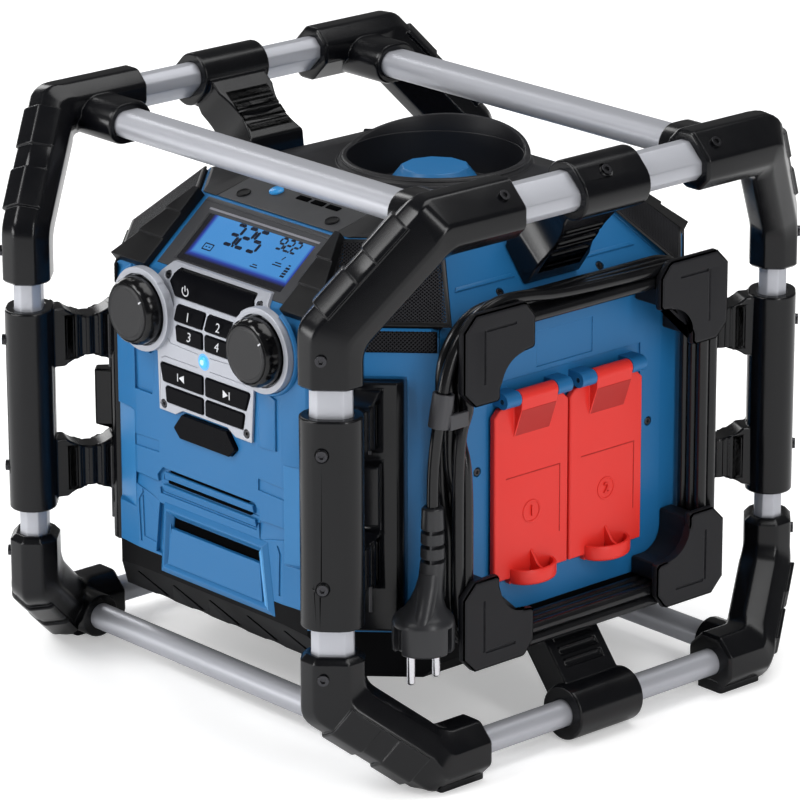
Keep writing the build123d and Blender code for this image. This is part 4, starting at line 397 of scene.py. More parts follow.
class Pose:
    """A drawing plane: at is its origin, x and y its axes, out its normal, in millimetres."""

    def __init__(self, at, x, y):
        self.at, self.x, self.y = Vector(at), Vector(x).normalized(), Vector(y).normalized()
        self.out = self.x.cross(self.y)

    def point(self, u, v, w=0.0):
        return self.at + self.x * u + self.y * v + self.out * w

    def ring(self, outline, w=0.0):
        return [self.point(u, v, w) for u, v in outline]

    def moved(self, u, v, w=0.0):
        """The same plane with its origin at another point."""
        return Pose(self.point(u, v, w), self.x, self.y)


def filleted(outline, radius, steps=3):
    """A polygon with its corners rounded."""
    result = []
    for i, corner in enumerate(outline):
        here = Vector(corner)
        a, b = Vector(outline[i - 1]) - here, Vector(outline[(i + 1) % len(outline)]) - here
        reach = min(a.length, b.length) * 0.45
        a, b = a.normalized(), b.normalized()
        cut = min(radius / max(tan(a.angle(b) / 2), 1e-3), reach)
        start, end = here + a * cut, here + b * cut
        for k in range(steps + 1):
            t = k / steps
            result.append(tuple(start * (1 - t) ** 2 + here * 2 * t * (1 - t) + end * t ** 2))
    return result


def inset(outline, amount):
    """A polygon moved in along its corners' bisectors, or out by a negative amount; it runs anticlockwise."""
    result = []
    for i, point in enumerate(outline):
        here = Vector(point)
        a = (here - Vector(outline[i - 1])).normalized()
        b = (Vector(outline[(i + 1) % len(outline)]) - here).normalized()
        na, nb = Vector((-a.y, a.x)), Vector((-b.y, b.x))
        result.append(tuple(here + (na + nb) * amount / max(0.3, 1 + na.dot(nb))))
    return result


def plate(pose, outline, low, high, edge=0.8, shape=None):
    """A slab on a plane between two heights, its upper rim rounded by edge."""
    rings = [pose.ring(outline, low)]
    for t in (0.0, pi / 4, pi / 2):
        rings.append(pose.ring(inset(outline, edge * (1 - cos(t))), high - edge + edge * sin(t)))
    return (shape or Shape()).loft(rings)


def disc(radius, count=32, at=(0.0, 0.0), deep=None):
    """A circle's points, or an ellipse's with its own half depth."""
    turns = [2 * pi * i / count for i in range(count)]
    return [(at[0] + radius * cos(a), at[1] + (deep or radius) * sin(a)) for a in turns]


def lathe(pose, profile, count=40, shape=None):
    """A turned body round a plane's normal; profile is (radius, height) from foot to top."""
    return (shape or Shape()).loft([pose.ring(disc(max(r, 0.01), count), h) for r, h in profile])


def block_outline(x0, x1, y0, y1):
    return [(x0, y0), (x1, y0), (x1, y1), (x0, y1)]


QUARTERS = {"front_right": (1, 1), "front_left": (-1, 1), "back_right": (1, -1), "back_left": (-1, -1)}
SIDES = {"right": (1, 1), "left": (-1, 1)}


def copies(shape, name, material, replaces=(), places=QUARTERS, **options):
    """A shape built once at each place, mirrored from the front right one."""
    for place_name, flip in places.items():
        shape.mirrored(*flip).build(f"{name}_{place_name}", material, replaces=replaces, **options)


# -------- camera

AZIMUTH, ELEVATION, ROLL = radians(48.26), radians(18.39), radians(-0.15)
DISTANCE, LENS = 2.8929, 219.2
TARGET = Vector((-0.0024, 0.0, 0.1607))


def add_camera():
    back = Vector((sin(AZIMUTH) * cos(ELEVATION), -cos(AZIMUTH) * cos(ELEVATION), sin(ELEVATION)))
    right = Vector(Z).cross(back).normalized()
    axes = Matrix((right, back.cross(right), back)).transposed().to_4x4()
    data = bpy.data.cameras.new("camera")
    data.lens, data.sensor_width = LENS, 36.0
    camera = link("camera", data)
    camera.matrix_world = Matrix.Translation(TARGET + back * DISTANCE) @ axes @ Matrix.Rotation(ROLL, 4, "Z")
    bpy.context.scene.camera = camera


add_camera()

# -------- cord

CORD_D = 7.0
ROW_X = (143.5, 150.5, 157.5)           # the winding's rows, away from the panel
HALF_STRAIGHT_Y, LOW_Z, HIGH_Z = 63.0, 102.0, 229.5   # centres of the winding's corners
TURN_R = {"in": 29.5, "out": 36.5}
TURNS = [(0, "in"), (0, "out"), (1, "out"), (1, "in"), (2, "in"), (2, "out")]
GLAND_EXIT = (143.5, -33.0, 72.5)
TAIL = [(157.4, -24.0, 268.0), (157.4, -50.0, 272.6), (157.4, -74.0, 273.5), (157.4, -95.5, 262.0),
        (157.4, -107.8, 241.5), (157.2, -112.5, 219.0), (155.2, -114.6, 197.0), (153.0, -114.5, 178.0),
        (153.0, -114.5, 161.8)]
SHIFT_Z = 18.0                          # height in which a turn changes rows


def corner_points(x, radius, sy, sz):
    """Four points round one corner of a turn, in the order from the z side to the y side."""
    near = radius * tan(pi / 8)
    y, z = sy * HALF_STRAIGHT_Y, HIGH_Z if sz > 0 else LOW_Z
    return [(x, y - sy * near, z + sz * radius), (x, y + sy * near, z + sz * radius),
            (x, y + sy * radius, z + sz * near), (x, y + sy * radius, z - sz * near)]


def winding_points():
    """Each turn runs along the foot, up the back side, along the top and down the front side."""
    points = [GLAND_EXIT]
    for i, (row, layer) in enumerate(TURNS):
        x, radius = ROW_X[row], TURN_R[layer]
        if i:
            points += reversed(corner_points(x, radius, -1, -1))
        points += corner_points(x, radius, 1, -1)
        points += reversed(corner_points(x, radius, 1, 1))
        if i == len(TURNS) - 1:
            break
        points += corner_points(x, radius, -1, 1)
        next_row, next_layer = TURNS[i + 1]
        top = HIGH_Z - 16.0 - SHIFT_Z * (len(TURNS) - 2 - i)
        points += [(x, -HALF_STRAIGHT_Y - radius, top),
                   (ROW_X[next_row], -HALF_STRAIGHT_Y - TURN_R[next_layer], top - SHIFT_Z + 3.0)]
    return points


def lay_cord(points):
    """The cord as one smooth curve, kept as a curve object."""
    data = bpy.data.curves.new("mains_cord", "CURVE")
    data.dimensions = "3D"
    spline = data.splines.new("NURBS")
    spline.points.add(len(points) - 1)
    for target, point in zip(spline.points, points):
        target.co = (*(c * MM for c in point), 1.0)
    spline.order_u = 3
    spline.use_endpoint_u = True
    data.resolution_u = 8
    data.bevel_depth, data.bevel_resolution = CORD_D / 2 * MM, 5
    data.materials.append(RUBBER)
    obj = link("mains_cord", data)
    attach(obj, "root")
    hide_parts("cord_winding", "cord_tail")
    return obj


cord = lay_cord(winding_points() + TAIL)

# -------- roll cage

POST_X, POST_Y = 135.0, 173.0
SIDE_X, SIDE_TOP_Z, SIDE_LOW_Z = 165.0, 330.0, 17.5
CROSS_TOP_Y, CROSS_TOP_Z, CROSS_LOW_Y = 104.5, 326.0, 124.0
BEND_TOP_Z, BEND_LOW_Z, BEND_Y = 270.5, 56.7, 128.0
MOUTH_TOP = (242.0, 70.0, 122.0)        # up the post, along the side tube, along the cross tube
MOUTH_LOW = (86.0, 95.0, 136.0)
TUBE, TUBE_WALL, TUBE_RIM = (24.0, 16.0), 1.5, 0.3
LOW_TUBE_D = 16.0
SLEEVE, LOW_SLEEVE = (36.0, 28.0), (35.0, 34.0)
POST_WIDE, SIDE_WIDE, LOW_SIDE_WIDE = (Vector(v).normalized() for v in ((1, 1, 0), (1, 0, -1), (1, 0, 1)))


def eight_sided(width, thick, corner, steps):
    """A long octagon with rounded corners, as a ring of (along the width, across it)."""
    r = thick / 2
    c, k = width / 2 - r, r * tan(pi / 8)
    points = [(c + r, -k), (c + r, k), (c + k, r), (-c - k, r), (-c - r, k), (-c - r, -k), (-c - k, -r), (c + k, -r)]
    return filleted(points, corner, steps)


def obround(width, thick):
    """Two half circles and the straights between them, as a ring of (along the width, across it)."""
    r = thick / 2
    reach = width / 2 - r
    turns = [-pi / 2 + pi * i / 14 for i in range(15)]
    return [(side * (reach + r * cos(a)), side * r * sin(a)) for side in (1, -1) for a in turns]


class Run:
    """A straight stretch of a tube or moulding: from a to b, its long side along wide."""

    def __init__(self, a, b, wide):
        self.a, self.b = Vector(a), Vector(b)
        self.way = (self.b - self.a).normalized()
        self.length = (self.b - self.a).length
        self.wide = (Vector(wide) - self.way * Vector(wide).dot(self.way)).normalized()
        self.across = self.way.cross(self.wide)

    def ring(self, points, s):
        return [self.a + self.way * s + self.wide * u + self.across * v for u, v in points]

    def to_plane(self, points, at, normal):
        """Where the lines along this run meet a plane."""
        return [p + self.way * ((at - p).dot(normal) / self.way.dot(normal)) for p in self.ring(points, 0.0)]


def tube_shape(start, end, wide, ring):
    """An open tube: outside, mouth rims and bore."""
    run = Run(start, end, wide)
    inner, rim, end = inset(ring, TUBE_WALL), inset(ring, TUBE_RIM), run.length
    rings = [run.ring(inner, 0.0), run.ring(rim, 0.0), run.ring(ring, TUBE_RIM), run.ring(ring, end - TUBE_RIM),
             run.ring(rim, end), run.ring(inner, end)]
    return Shape().loft(rings + rings[:1], close_ends=False)


def build_tubes():
    faceted, round_tube = eight_sided(*TUBE, 1.6, 2), disc(LOW_TUBE_D / 2, 40)
    grip = 21.5                             # how far a post tube goes into each corner
    post = tube_shape((POST_X, -POST_Y, MOUTH_LOW[0] - grip), (POST_X, -POST_Y, MOUTH_TOP[0] + grip), POST_WIDE,
                      faceted)
    copies(post, "post_tube", TUBE_Z, ["post_tubes"])
    for name, y, z, wide, ring in (("top_side_tube", MOUTH_TOP[1] + 39.5, SIDE_TOP_Z, SIDE_WIDE, faceted),
                                   ("low_side_tube", MOUTH_LOW[1] + 18.5, SIDE_LOW_Z, LOW_SIDE_WIDE, round_tube)):
        copies(tube_shape((SIDE_X, -y, z), (SIDE_X, y, z), wide, ring), name, TUBE_Y, ["side_tubes"], SIDES)
    for side, sy in (("front", -1), ("back", 1)):
        for name, x, y, z, ring in (
                ("carry_tube", MOUTH_TOP[2] + 25.5, sy * CROSS_TOP_Y, CROSS_TOP_Z, obround(*TUBE)),
                ("low_cross_tube", MOUTH_LOW[2] + 17.5, sy * CROSS_LOW_Y, SIDE_LOW_Z, round_tube)):
            tube = tube_shape((-x, y, z), (x, y, z), Y, ring)
            tube.build(f"{name}_{side}", TUBE_X, replaces=["cross_tubes"])


def turned(v, before, after):
    """A vector square to before, turned with it as it bends to after."""
    return Matrix.Rotation(before.angle(after), 3, before.cross(after)) @ v


def bend(a, b, c, steps):
    """Rings on the way from ring a to ring c, drawn towards ring b."""
    shares = [i / steps for i in range(steps + 1)]
    return [[p * (1 - t) ** 2 + q * 2 * t * (1 - t) + r * t ** 2 for p, q, r in zip(a, b, c)] for t in shares]


BEND_REACH, BEND_STEPS = 7.0, 4
MOUTH_CHAMFER = 3.2
TUBE_DEEP = 12.0                        # how far the hole in a mouth goes in


def elbow(path, side_wide, sleeves, tubes, chamfer):
    """A moulded corner: three runs whose bends are rounded, with an open mouth at each end."""
    ways = [(Vector(b) - Vector(a)).normalized() for a, b in zip(path, path[1:])]
    wides = (POST_WIDE, turned(POST_WIDE, ways[0], ways[1]), side_wide)
    runs = [Run(a, b, wide) for a, b, wide in zip(path, path[1:], wides)]
    outlines = [eight_sided(*size, 4.6, 4) for size in sleeves]
    first, last, end = runs[0], runs[2], runs[2].length
    rings = [first.ring(tubes[0], TUBE_DEEP), first.ring(tubes[0], 0.4),
             first.ring(inset(outlines[0], chamfer + 0.6), 0.0), first.ring(inset(outlines[0], chamfer), 0.2),
             first.ring(outlines[0], chamfer * 1.1)]
    for k in (0, 1):
        before, after = runs[k], runs[k + 1]
        meeting = before.way + after.way
        arriving = before.to_plane(outlines[k], before.b, meeting)
        leaving = after.to_plane(outlines[k + 1], before.b, meeting)
        rings += bend([p - before.way * BEND_REACH for p in arriving],
                      [(p + q) / 2 for p, q in zip(arriving, leaving)],
                      [p + after.way * BEND_REACH for p in leaving], BEND_STEPS)
    rings += [last.ring(inset(outlines[2], MOUTH_CHAMFER * cut), end - MOUTH_CHAMFER * back)
              for cut, back in ((0.0, 0.5), (0.25, 0.15), (0.6, 0.0))]
    rings += [last.ring(tubes[1], end - 0.3), last.ring(tubes[1], end - TUBE_DEEP)]
    return Shape().loft(rings), runs[1], outlines[1]


PAD_SPANS, PAD_RISE = ((0.09, 0.41), (0.59, 0.91)), 2.2   # parts of the middle run's length
PAD_START = 3.0                         # how far past the middle, towards the outside, a pad begins


def wrap_pads(run, ring, outward, shape):
    """Raised pads round the outer side of an elbow's middle run, with a lower one between them."""
    base = [run.wide * u + run.across * v for u, v in ring]
    facing = [p.dot(outward) > PAD_START for p in base]
    start = next(i for i in range(len(ring)) if facing[i] and not facing[i - 1])
    kept = [base[(start + n) % len(ring)] for n in range(sum(facing))]
    (a0, a1), (b0, b1) = [(low * run.length, high * run.length) for low, high in PAD_SPANS]
    for s0, s1, rise in ((a0, a1, PAD_RISE), (b0, b1, PAD_RISE), (a1 - 1.0, b0 + 1.0, PAD_RISE * 0.4)):
        rings = []
        for s, lift in ((s0, 0.1), (s0 + 0.25, rise * 0.8), (s0 + 0.8, rise), (s1 - 0.8, rise),
                        (s1 - 0.25, rise * 0.8), (s1, 0.1)):
            here = run.a + run.way * s
            rings.append([here + p + p.normalized() * lift for p in kept] + [here + p * 0.88 for p in reversed(kept)])
        shape.loft(rings)


def collar(y, z, mouth_x, width, thick, tube_ring, shape):
    """The short arm of a corner that holds a cross tube, open at its mouth."""
    ring = obround(width, thick)
    run = Run((SIDE_X, -y, z), (mouth_x, -y, z), Y)
    end = run.length
    shape.loft([run.ring(ring, 0.0), run.ring(ring, end - 2.0), run.ring(inset(ring, 0.5), end - 0.6),
                run.ring(inset(ring, 1.6), end), run.ring(tube_ring, end - 0.2), run.ring(tube_ring, end - 10.0)])


def padded_elbow(mouths, bend_z, side_z, up, side_wide, sleeves, tubes, chamfer=MOUTH_CHAMFER):
    """A corner's elbow from the post's mouth to the side tube's mouth, with its pads."""
    path = [(POST_X, -POST_Y, mouths[0]), (POST_X, -POST_Y, bend_z), (SIDE_X, -BEND_Y, side_z),
            (SIDE_X, -mouths[1], side_z)]
    shape, middle, ring = elbow(path, side_wide, sleeves, tubes, chamfer)
    outward = Vector((0.0, -1.0, 0.75 * up))
    outward = (outward - middle.way * outward.dot(middle.way)).normalized()
    wrap_pads(middle, ring, outward, shape)
    return shape


def build_elbows():
    faceted = inset(eight_sided(*TUBE, 2.76, 4), -0.25)
    top = padded_elbow(MOUTH_TOP, BEND_TOP_Z, SIDE_TOP_Z, 1, SIDE_WIDE, [SLEEVE] * 3, [faceted, faceted], 1.4)
    collar(CROSS_TOP_Y, CROSS_TOP_Z, MOUTH_TOP[2], 33.0, 25.0, inset(obround(*TUBE), -0.25), top)
    copies(top, "top_corner", CAGE, ["top_corners"])

    between = (SLEEVE[0], (SLEEVE[1] + LOW_SLEEVE[1]) / 2)
    round_tube = disc(LOW_TUBE_D / 2 + 0.2, len(faceted))
    low = padded_elbow(MOUTH_LOW, BEND_LOW_Z, SIDE_LOW_Z, -1, LOW_SIDE_WIDE, [SLEEVE, between, LOW_SLEEVE],
                       [faceted, round_tube])
    collar(CROSS_LOW_Y, SIDE_LOW_Z, MOUTH_LOW[2], 27.0, 27.0, inset(disc(LOW_TUBE_D / 2, 30), -0.2), low)
    foot = Pose((SIDE_X, -(BEND_Y + MOUTH_LOW[1]) / 2, 0.0), X, Y)
    plate(foot, filleted(block_outline(-10.0, 10.0, -16.5, 16.5), 2.0), 0.0, 7.0, 1.0, low)
    copies(low, "bottom_corner", CAGE, ["bottom_corners"])


build_tubes()
build_elbows()

# -------- carving and lettering


def front_pose(x, y, z):
    """A plane that looks forward."""
    return Pose((x, y, z), X, Z)


def side_pose(x, y):
    """A plane that looks to the outlet side."""
    return Pose((x, y, 0), Y, Z)


BODY_Y, PLATE_Y, KEY_Y = -150.0, -152.0, -153.0     # fronts of the housing, the control plate and the keys
FRONT = front_pose(0, BODY_Y, 0)
SCREEN_PLANE = Pose((0, -120.5, 277.5), X, (0, 43, 35))
SKIRT = Pose((0, -129, 50), X, (0, -21, 26))


def carve(obj, cutters):
    """Cuts a shape out of an object."""
    tool = link("carving_tool", cutters.mesh("carving_tool"))
    cut = obj.modifiers.new("carving", "BOOLEAN")
    cut.operation, cut.solver, cut.object = "DIFFERENCE", "EXACT", tool
    cut.use_self = True
    apply_modifiers(obj)
    bpy.data.objects.remove(tool, do_unlink=True)


def softened(source, material, name=None, body="root", bevel=0.0, cuts=None, segments=2, angle=32.0,
             carve_first=False):
    """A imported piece's own shape with cleaned faces, grooves cut in it and its edges rounded."""
    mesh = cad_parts[source].data.copy()
    bm = bmesh.new()
    bm.from_mesh(mesh)
    bmesh.ops.remove_doubles(bm, verts=bm.verts, dist=1e-6)
    bmesh.ops.dissolve_limit(bm, angle_limit=radians(0.6), verts=bm.verts, edges=bm.edges)
    bm.to_mesh(mesh)
    bm.free()
    mesh.materials.clear()
    obj = keep_object(mesh, name or f"{source}_moulded", material, body, [source])
    if cuts and carve_first:
        carve(obj, cuts)
    if bevel:
        soften(obj, bevel, segments, angle, clamp=False)
    if cuts and not carve_first:
        carve(obj, cuts)
    shade(obj, angle)


def lettering(text, name, pose, spot, size, material, body, rise=0.12, slant=0.0):
    """Plain raised characters centred on a spot of a plane."""
    words = bpy.data.curves.new(name, "FONT")
    words.body, words.size, words.shear = text, size, slant
    words.align_x, words.align_y = "CENTER", "CENTER"
    words.extrude, words.resolution_u = rise / 2, 4
    holder = link(name, words)
    mesh = applied_mesh(holder)
    bpy.data.objects.remove(holder)
    for vertex in mesh.vertices:
        vertex.co = pose.point(spot[0] + vertex.co.x, spot[1] + vertex.co.y, rise / 2 + vertex.co.z) * MM
    mesh.materials.clear()
    keep_object(mesh, name, material, body)


def bar_between(pose, a, b, width, low, high, shape, nib=0.0):
    """A straight raised bar from a to b on a plane, with pointed ends of length nib."""
    a, b = Vector(a), Vector(b)
    way = (b - a).normalized()
    side = Vector((-way.y, way.x)) * width / 2
    ring = [a - side, b - side, b + side, a + side]
    if nib:
        ring = [*ring[:2], b + way * nib, *ring[2:], a - way * nib]
    return shape.loft([pose.ring(ring, low), pose.ring(ring, high)])


def drill(shape, at, radius, y0, y1, count=12, tall=None):
    """A rod along Y for a cut, round or with its own half height, centred at (x, z)."""
    shape.loft([[(x, y, z) for x, z in disc(radius, count, at, tall)] for y in (y0, y1)])


# -------- brackets that hold the body


def plan(r, t, z):
    """A point from the radial direction of the front right corner and the direction square to it."""
    return Vector(((r + t) / ROOT2, (t - r) / ROOT2, z))


WEB_START, WEB_END = Vector((165.2, -7.78)), Vector((217.8, -26.87))
WEB_THICK, WEB_HEIGHT, WEB_Z = 17.0, 36.0, (206.0, 125.0)
FLUTES = (11.0, 18.5, 26.0, 33.5)       # distances along a web
BRACKET = dict(bevel=1.3, segments=3, angle=28.0, carve_first=True)


def bracket_cuts():
    """Flutes down both sides of each web, and its arched top and bottom."""
    cuts = Shape()
    along = (WEB_END - WEB_START).normalized()
    square = Vector((-along.y, along.x))
    arch = [(7.0 + 2.5 * i, 0.2 - 6.0 * sin(pi * i / 12) ** 0.8) for i in range(12)]
    arch += [(37.0, 0.2), (37.0, 4.0), (7.0, 4.0)]
    for z in WEB_Z:
        for s in FLUTES:
            for side in (1, -1):
                at = WEB_START + along * s + square * side * (WEB_THICK / 2 + 0.6)
                cuts.loft([[plan(r, t, z + h) for r, t in disc(2.3, 10, at)] for h in (-12.5, 12.5)])
        for side in (1, -1):
            rings = []
            for k in (-1, 1):
                edge = WEB_START + square * k * (WEB_THICK / 2 + 2)
                rings.append([plan(*(edge + along * s), z + side * (WEB_HEIGHT / 2 + up)) for s, up in arch])
            cuts.loft(rings)
    return cuts


def build_post_brackets():
    softened("post_brackets", CAGE, cuts=bracket_cuts().everywhere(QUARTERS), **BRACKET)
    # The ribs take a lighter plastic than the cage they belong to: a painted highlight.
    ribs = Shape()
    foot = Pose(plan(171.15, -7.78, 0), (1, 1, 0), Z)
    for z0, z1 in ((186.0, 218.0), (92.0, 136.0)):
        for u in (-12.0, -6.5, -1.0):
            plate(foot, block_outline(u - 0.9, u + 0.9, z0, z1), -0.3, 1.3, 0.5, ribs)
    copies(ribs, "bracket_ribs", RIB_PAINTED_HIGHLIGHT, ["post_brackets"])


def arm_cuts(top_a, top_b, low_a, low_b):
    """Grooves across both long faces of an arm in the XZ plane, and a waist in its sides."""
    cuts = Shape()
    for a, b in ((top_a, top_b), (low_a, low_b)):
        for k in (0.30, 0.47, 0.64, 0.81):
            drill(cuts, a.lerp(b, k), 2.2, -15.0, 15.0)
    a, b = top_a.lerp(low_a, 0.5), top_b.lerp(low_b, 0.5)
    way = (b - a).normalized()
    across = Vector((-way.y, way.x))
    waist = [(0.16 + 0.06 * i, 21.2 - 5.0 * sin(pi * i / 12)) for i in range(13)] + [(0.88, 24.0), (0.16, 24.0)]
    for side in (1, -1):
        rings = []
        for k in (-24.0, 24.0):
            spots = [(a.lerp(b, s) + across * k, side * y) for s, y in waist]
            rings.append([(c.x, y, c.y) for c, y in spots])
        cuts.loft(rings)
    return cuts


def build_side_brackets():
    top = arm_cuts(*(Vector(v) for v in ((149.0, 332.0), (112.9, 302.0), (163.0, 314.0), (128.6, 267.0))))
    softened("top_brackets", CAGE, cuts=top.everywhere(SIDES), **BRACKET)
    low = Shape()
    a, b = Vector((165.0, 17.5)), Vector((134.5, 55.0))
    way = (b - a).normalized()
    across = Vector((-way.y, way.x))
    for k in (0.52, 0.68, 0.84):
        for side in (1, -1):
            drill(low, a.lerp(b, k) + across * side * 10.2, 2.2, -14.5, 14.5)
    softened("bottom_brackets", CAGE, cuts=low.everywhere(SIDES), **BRACKET)


build_post_brackets()
build_side_brackets()

# -------- control face

KEYS = ["power_button", "preset_key_1", "preset_key_2", "preset_key_3", "preset_key_4", "previous_key", "next_key",
        "mute_key", "equalizer_key", "wireless_key"]
DIGIT_AT = {"1": (-13.275, 241.5), "2": (13.675, 241.5), "3": (-12.4, 229.75), "4": (12.425, 229.75)}
ARROW_Z, POWER_AT, POWER_R = 203.5, Vector((-14.5, 257.0)), 2.7
MARK_RISE = (-0.05, 0.14)
KNOB_CENTRE, LENS_Z = (53.0, 238.0), 218.0
KNOB_SKIRT_RINGS = ((19.6, 2.6, 0.0), (20.3, 3.2, 0.0), (20.3, 7.0, 0.15), (20.1, 10.4, 0.35), (19.3, 12.8, 0.4),
                    (18.1, 14.5, 0.2), (17.3, 15.0, 0.0), (16.9, 14.7, 0.0), (16.9, 13.0, 0.0))


def build_keys():
    for name in KEYS:
        softened(name, KEY, f"{name}_cap", name, bevel=0.55, segments=3)
    face = front_pose(0, KEY_Y, 0)
    for digit, spot in DIGIT_AT.items():
        name = f"preset_key_{digit}"
        lettering(digit, f"{name}_digit", face, spot, 8.2, LEGEND, name, slant=0.2)
    for name, u, way in (("previous_key", -19.275, -1), ("next_key", 20.3, 1)):
        arrow = Shape()
        tip, back, bar = u + way * 2.2, u - way * 2.4, u + way * 3.3
        head = [(tip, ARROW_Z), (back, ARROW_Z + 2.4), (back, ARROW_Z - 2.4)]
        arrow.loft([face.ring(head, h) for h in MARK_RISE])
        bar_between(face, (bar, ARROW_Z - 2.4), (bar, ARROW_Z + 2.4), 0.8, *MARK_RISE, arrow)
        arrow.build(f"{name}_arrow", LEGEND, name)
    icon = Shape()
    turns = [radians(130 + 20 * i) for i in range(15)]
    arc = [POWER_AT + Vector((cos(a), sin(a))) * POWER_R for a in turns]
    for a, b in [*zip(arc, arc[1:]), (POWER_AT, POWER_AT + Vector((0.0, 3.4)))]:
        bar_between(face, a, b, 0.7, *MARK_RISE, icon)
    icon.build("power_button_icon", LEGEND, "power_button")


def knob_pose(sx):
    """The plane behind the right knob, or for -1 behind the left one."""
    return FRONT.moved(sx * KNOB_CENTRE[0], KNOB_CENTRE[1])


def knob(name, sx):
    """A glossy skirt with finger dimples, a satin cap and an index mark."""
    pose = knob_pose(sx)
    count, dimples = 144, 12
    rings = []
    for radius, height, depth in KNOB_SKIRT_RINGS:
        turns = [2 * pi * i / count for i in range(count)]
        radii = [radius - depth * (0.5 + 0.5 * cos(dimples * a)) ** 3 for a in turns]
        rings.append([pose.point(r * cos(a), r * sin(a), height) for a, r in zip(turns, radii)])
    Shape().loft(rings).build(f"{name}_skirt", KNOB_SKIRT, name, [name], angle=50.0)
    cap = [(16.7, 12.5), (16.7, 14.9), (16.2, 15.6), (14.6, 15.9), (14.2, 15.7), (7.0, 15.65), (0.0, 15.65)]
    lathe(pose, cap, 64).build(f"{name}_cap", KNOB_CAP, name, [name], angle=24.0)
    mark = bar_between(pose, (13.4, 9.4), (11.5, 8.0), 0.9, 15.4, 15.95, Shape())
    mark.build(f"{name}_mark", LEGEND, name)


def build_plate():
    """The silver plate, its chevron lines and the lit lens."""
    cuts = Shape()
    front = front_pose(0, PLATE_Y, 0)
    for half, inner, bend_z, outer in ((30.0, 221.4, 222.4, 226.4), (35.0, 213.3, 213.3, 211.8)):
        for sx in (1, -1):
            path = [(sx * 5.5, inner), (sx * half, bend_z), (sx * (half + 3.0), outer)]
            for a, b in zip(path, path[1:]):
                bar_between(front, a, b, 0.45, -0.35, 1.0, cuts)
    softened("control_plate", SILVER, "control_plate_face", bevel=0.45, cuts=cuts)
    for name, material, out, profile, count, replaces in (
            ("dome", STATUS, 0.0, [(3.6, -1.0), (3.6, 0.2), (3.0, 1.0), (1.6, 1.5), (0.0, 1.6)], 32, ["status_lens"]),
            ("spark", SPARK, 1.3, [(1.9, -0.5), (1.6, 0.3), (0.0, 0.45)], 24, []),
            ("rim", HALO, 0.0, [(5.0, -0.4), (5.0, 0.0), (4.6, 0.12), (3.4, 0.12)], 40, [])):
        lens = lathe(front_pose(0, PLATE_Y - out, LENS_Z), profile, count)
        lens.build(f"status_lens_{name}", material, replaces=replaces, angle=60.0)


def build_front_rings():
    """The raised blue rims round the outer sides of the knobs."""
    section = [(27.4, -0.6), (27.2, 0.6), (26.6, 1.4), (25.6, 1.5), (25.1, 1.0), (25.1, -0.6)]
    turns = [radians(-95 + 155 * i / 48) for i in range(49)]
    for side, (sx, _) in SIDES.items():
        pose = knob_pose(sx)
        rim = Shape().loft([[pose.point(sx * r * cos(a), r * sin(a), h) for r, h in section] for a in turns])
        rim.build(f"knob_surround_{side}", BLUE, angle=35.0)


build_keys()
knob("right_knob", 1)
knob("left_knob", -1)
build_plate()
build_front_rings()

# -------- display

SEGMENTS = {"2": "abged", "3": "abgcd", "5": "afgcd", "9": "abcdfg"}
SCREEN_TOP = SCREEN_PLANE.moved(0, 0, -0.55)
INK = (0.0, 0.1)                        # heights of the figures on the pane
FRAME_SIGN = [(-33, -6.4), (-25.6, -6.4), (-25.6, -2.2), (-33, -2.2)]
STROKES = [*zip(FRAME_SIGN, FRAME_SIGN[1:] + FRAME_SIGN[:1]), ((-31.4, -4.3), (-30, -4.3)),
           ((-28.8, -4.3), (-27.4, -4.3)), ((10.6, -7.4), (16.8, -7.4)), ((11.8, -5.8), (15.6, -5.8)),
           ((25.4, -1.9), (33.0, -1.9)), ((26.6, -0.2), (31.8, -0.2)), ((29.8, 2.4), (31.2, 5.0))]


def digit_bars(figure, u, v, width, height, thick, shape):
    """One seven-bar figure with its lower left at (u, v), leaning to the right."""
    lean, gap, h = 0.09, 0.62 * thick, height / 2
    spans = {"a": ((0, height), (width, height)), "g": ((0, h), (width, h)), "d": ((0, 0), (width, 0)),
             "f": ((0, h), (0, height)), "b": ((width, h), (width, height)), "e": ((0, 0), (0, h)),
             "c": ((width, 0), (width, h))}
    for key in SEGMENTS[figure]:
        (x0, y0), (x1, y1) = spans[key]
        if y0 == y1:
            x0, x1 = x0 + gap, x1 - gap
        else:
            y0, y1 = y0 + gap, y1 - gap
        bar_between(SCREEN_TOP, (u + x0 + lean * y0, v + y0), (u + x1 + lean * y1, v + y1), thick, *INK, shape,
                    thick * 0.4)


def build_glass():
    """The lit pane, whose front is spread over the whole UV square."""
    glass = bpy.data.meshes.new("display_glass")
    hx, hy = (size / 2 for size in SCREEN_SIZE)
    corners = block_outline(-hx, hx, -hy, hy)
    points = SCREEN_PLANE.ring(corners, -3.6) + SCREEN_PLANE.ring(corners, -0.6)
    faces = [(4, 5, 6, 7), (3, 2, 1, 0), (0, 1, 5, 4), (1, 2, 6, 5), (2, 3, 7, 6), (3, 0, 4, 7)]
    glass.from_pydata([p * MM for p in points], [], faces)
    uv = glass.uv_layers.new(name="UVMap")
    for loop, spot in zip(glass.polygons[0].loop_indices, block_outline(0, 1, 0, 1)):
        uv.data[loop].uv = spot
    keep_object(glass, "display_glass", SCREEN, replaces=["display_window"])


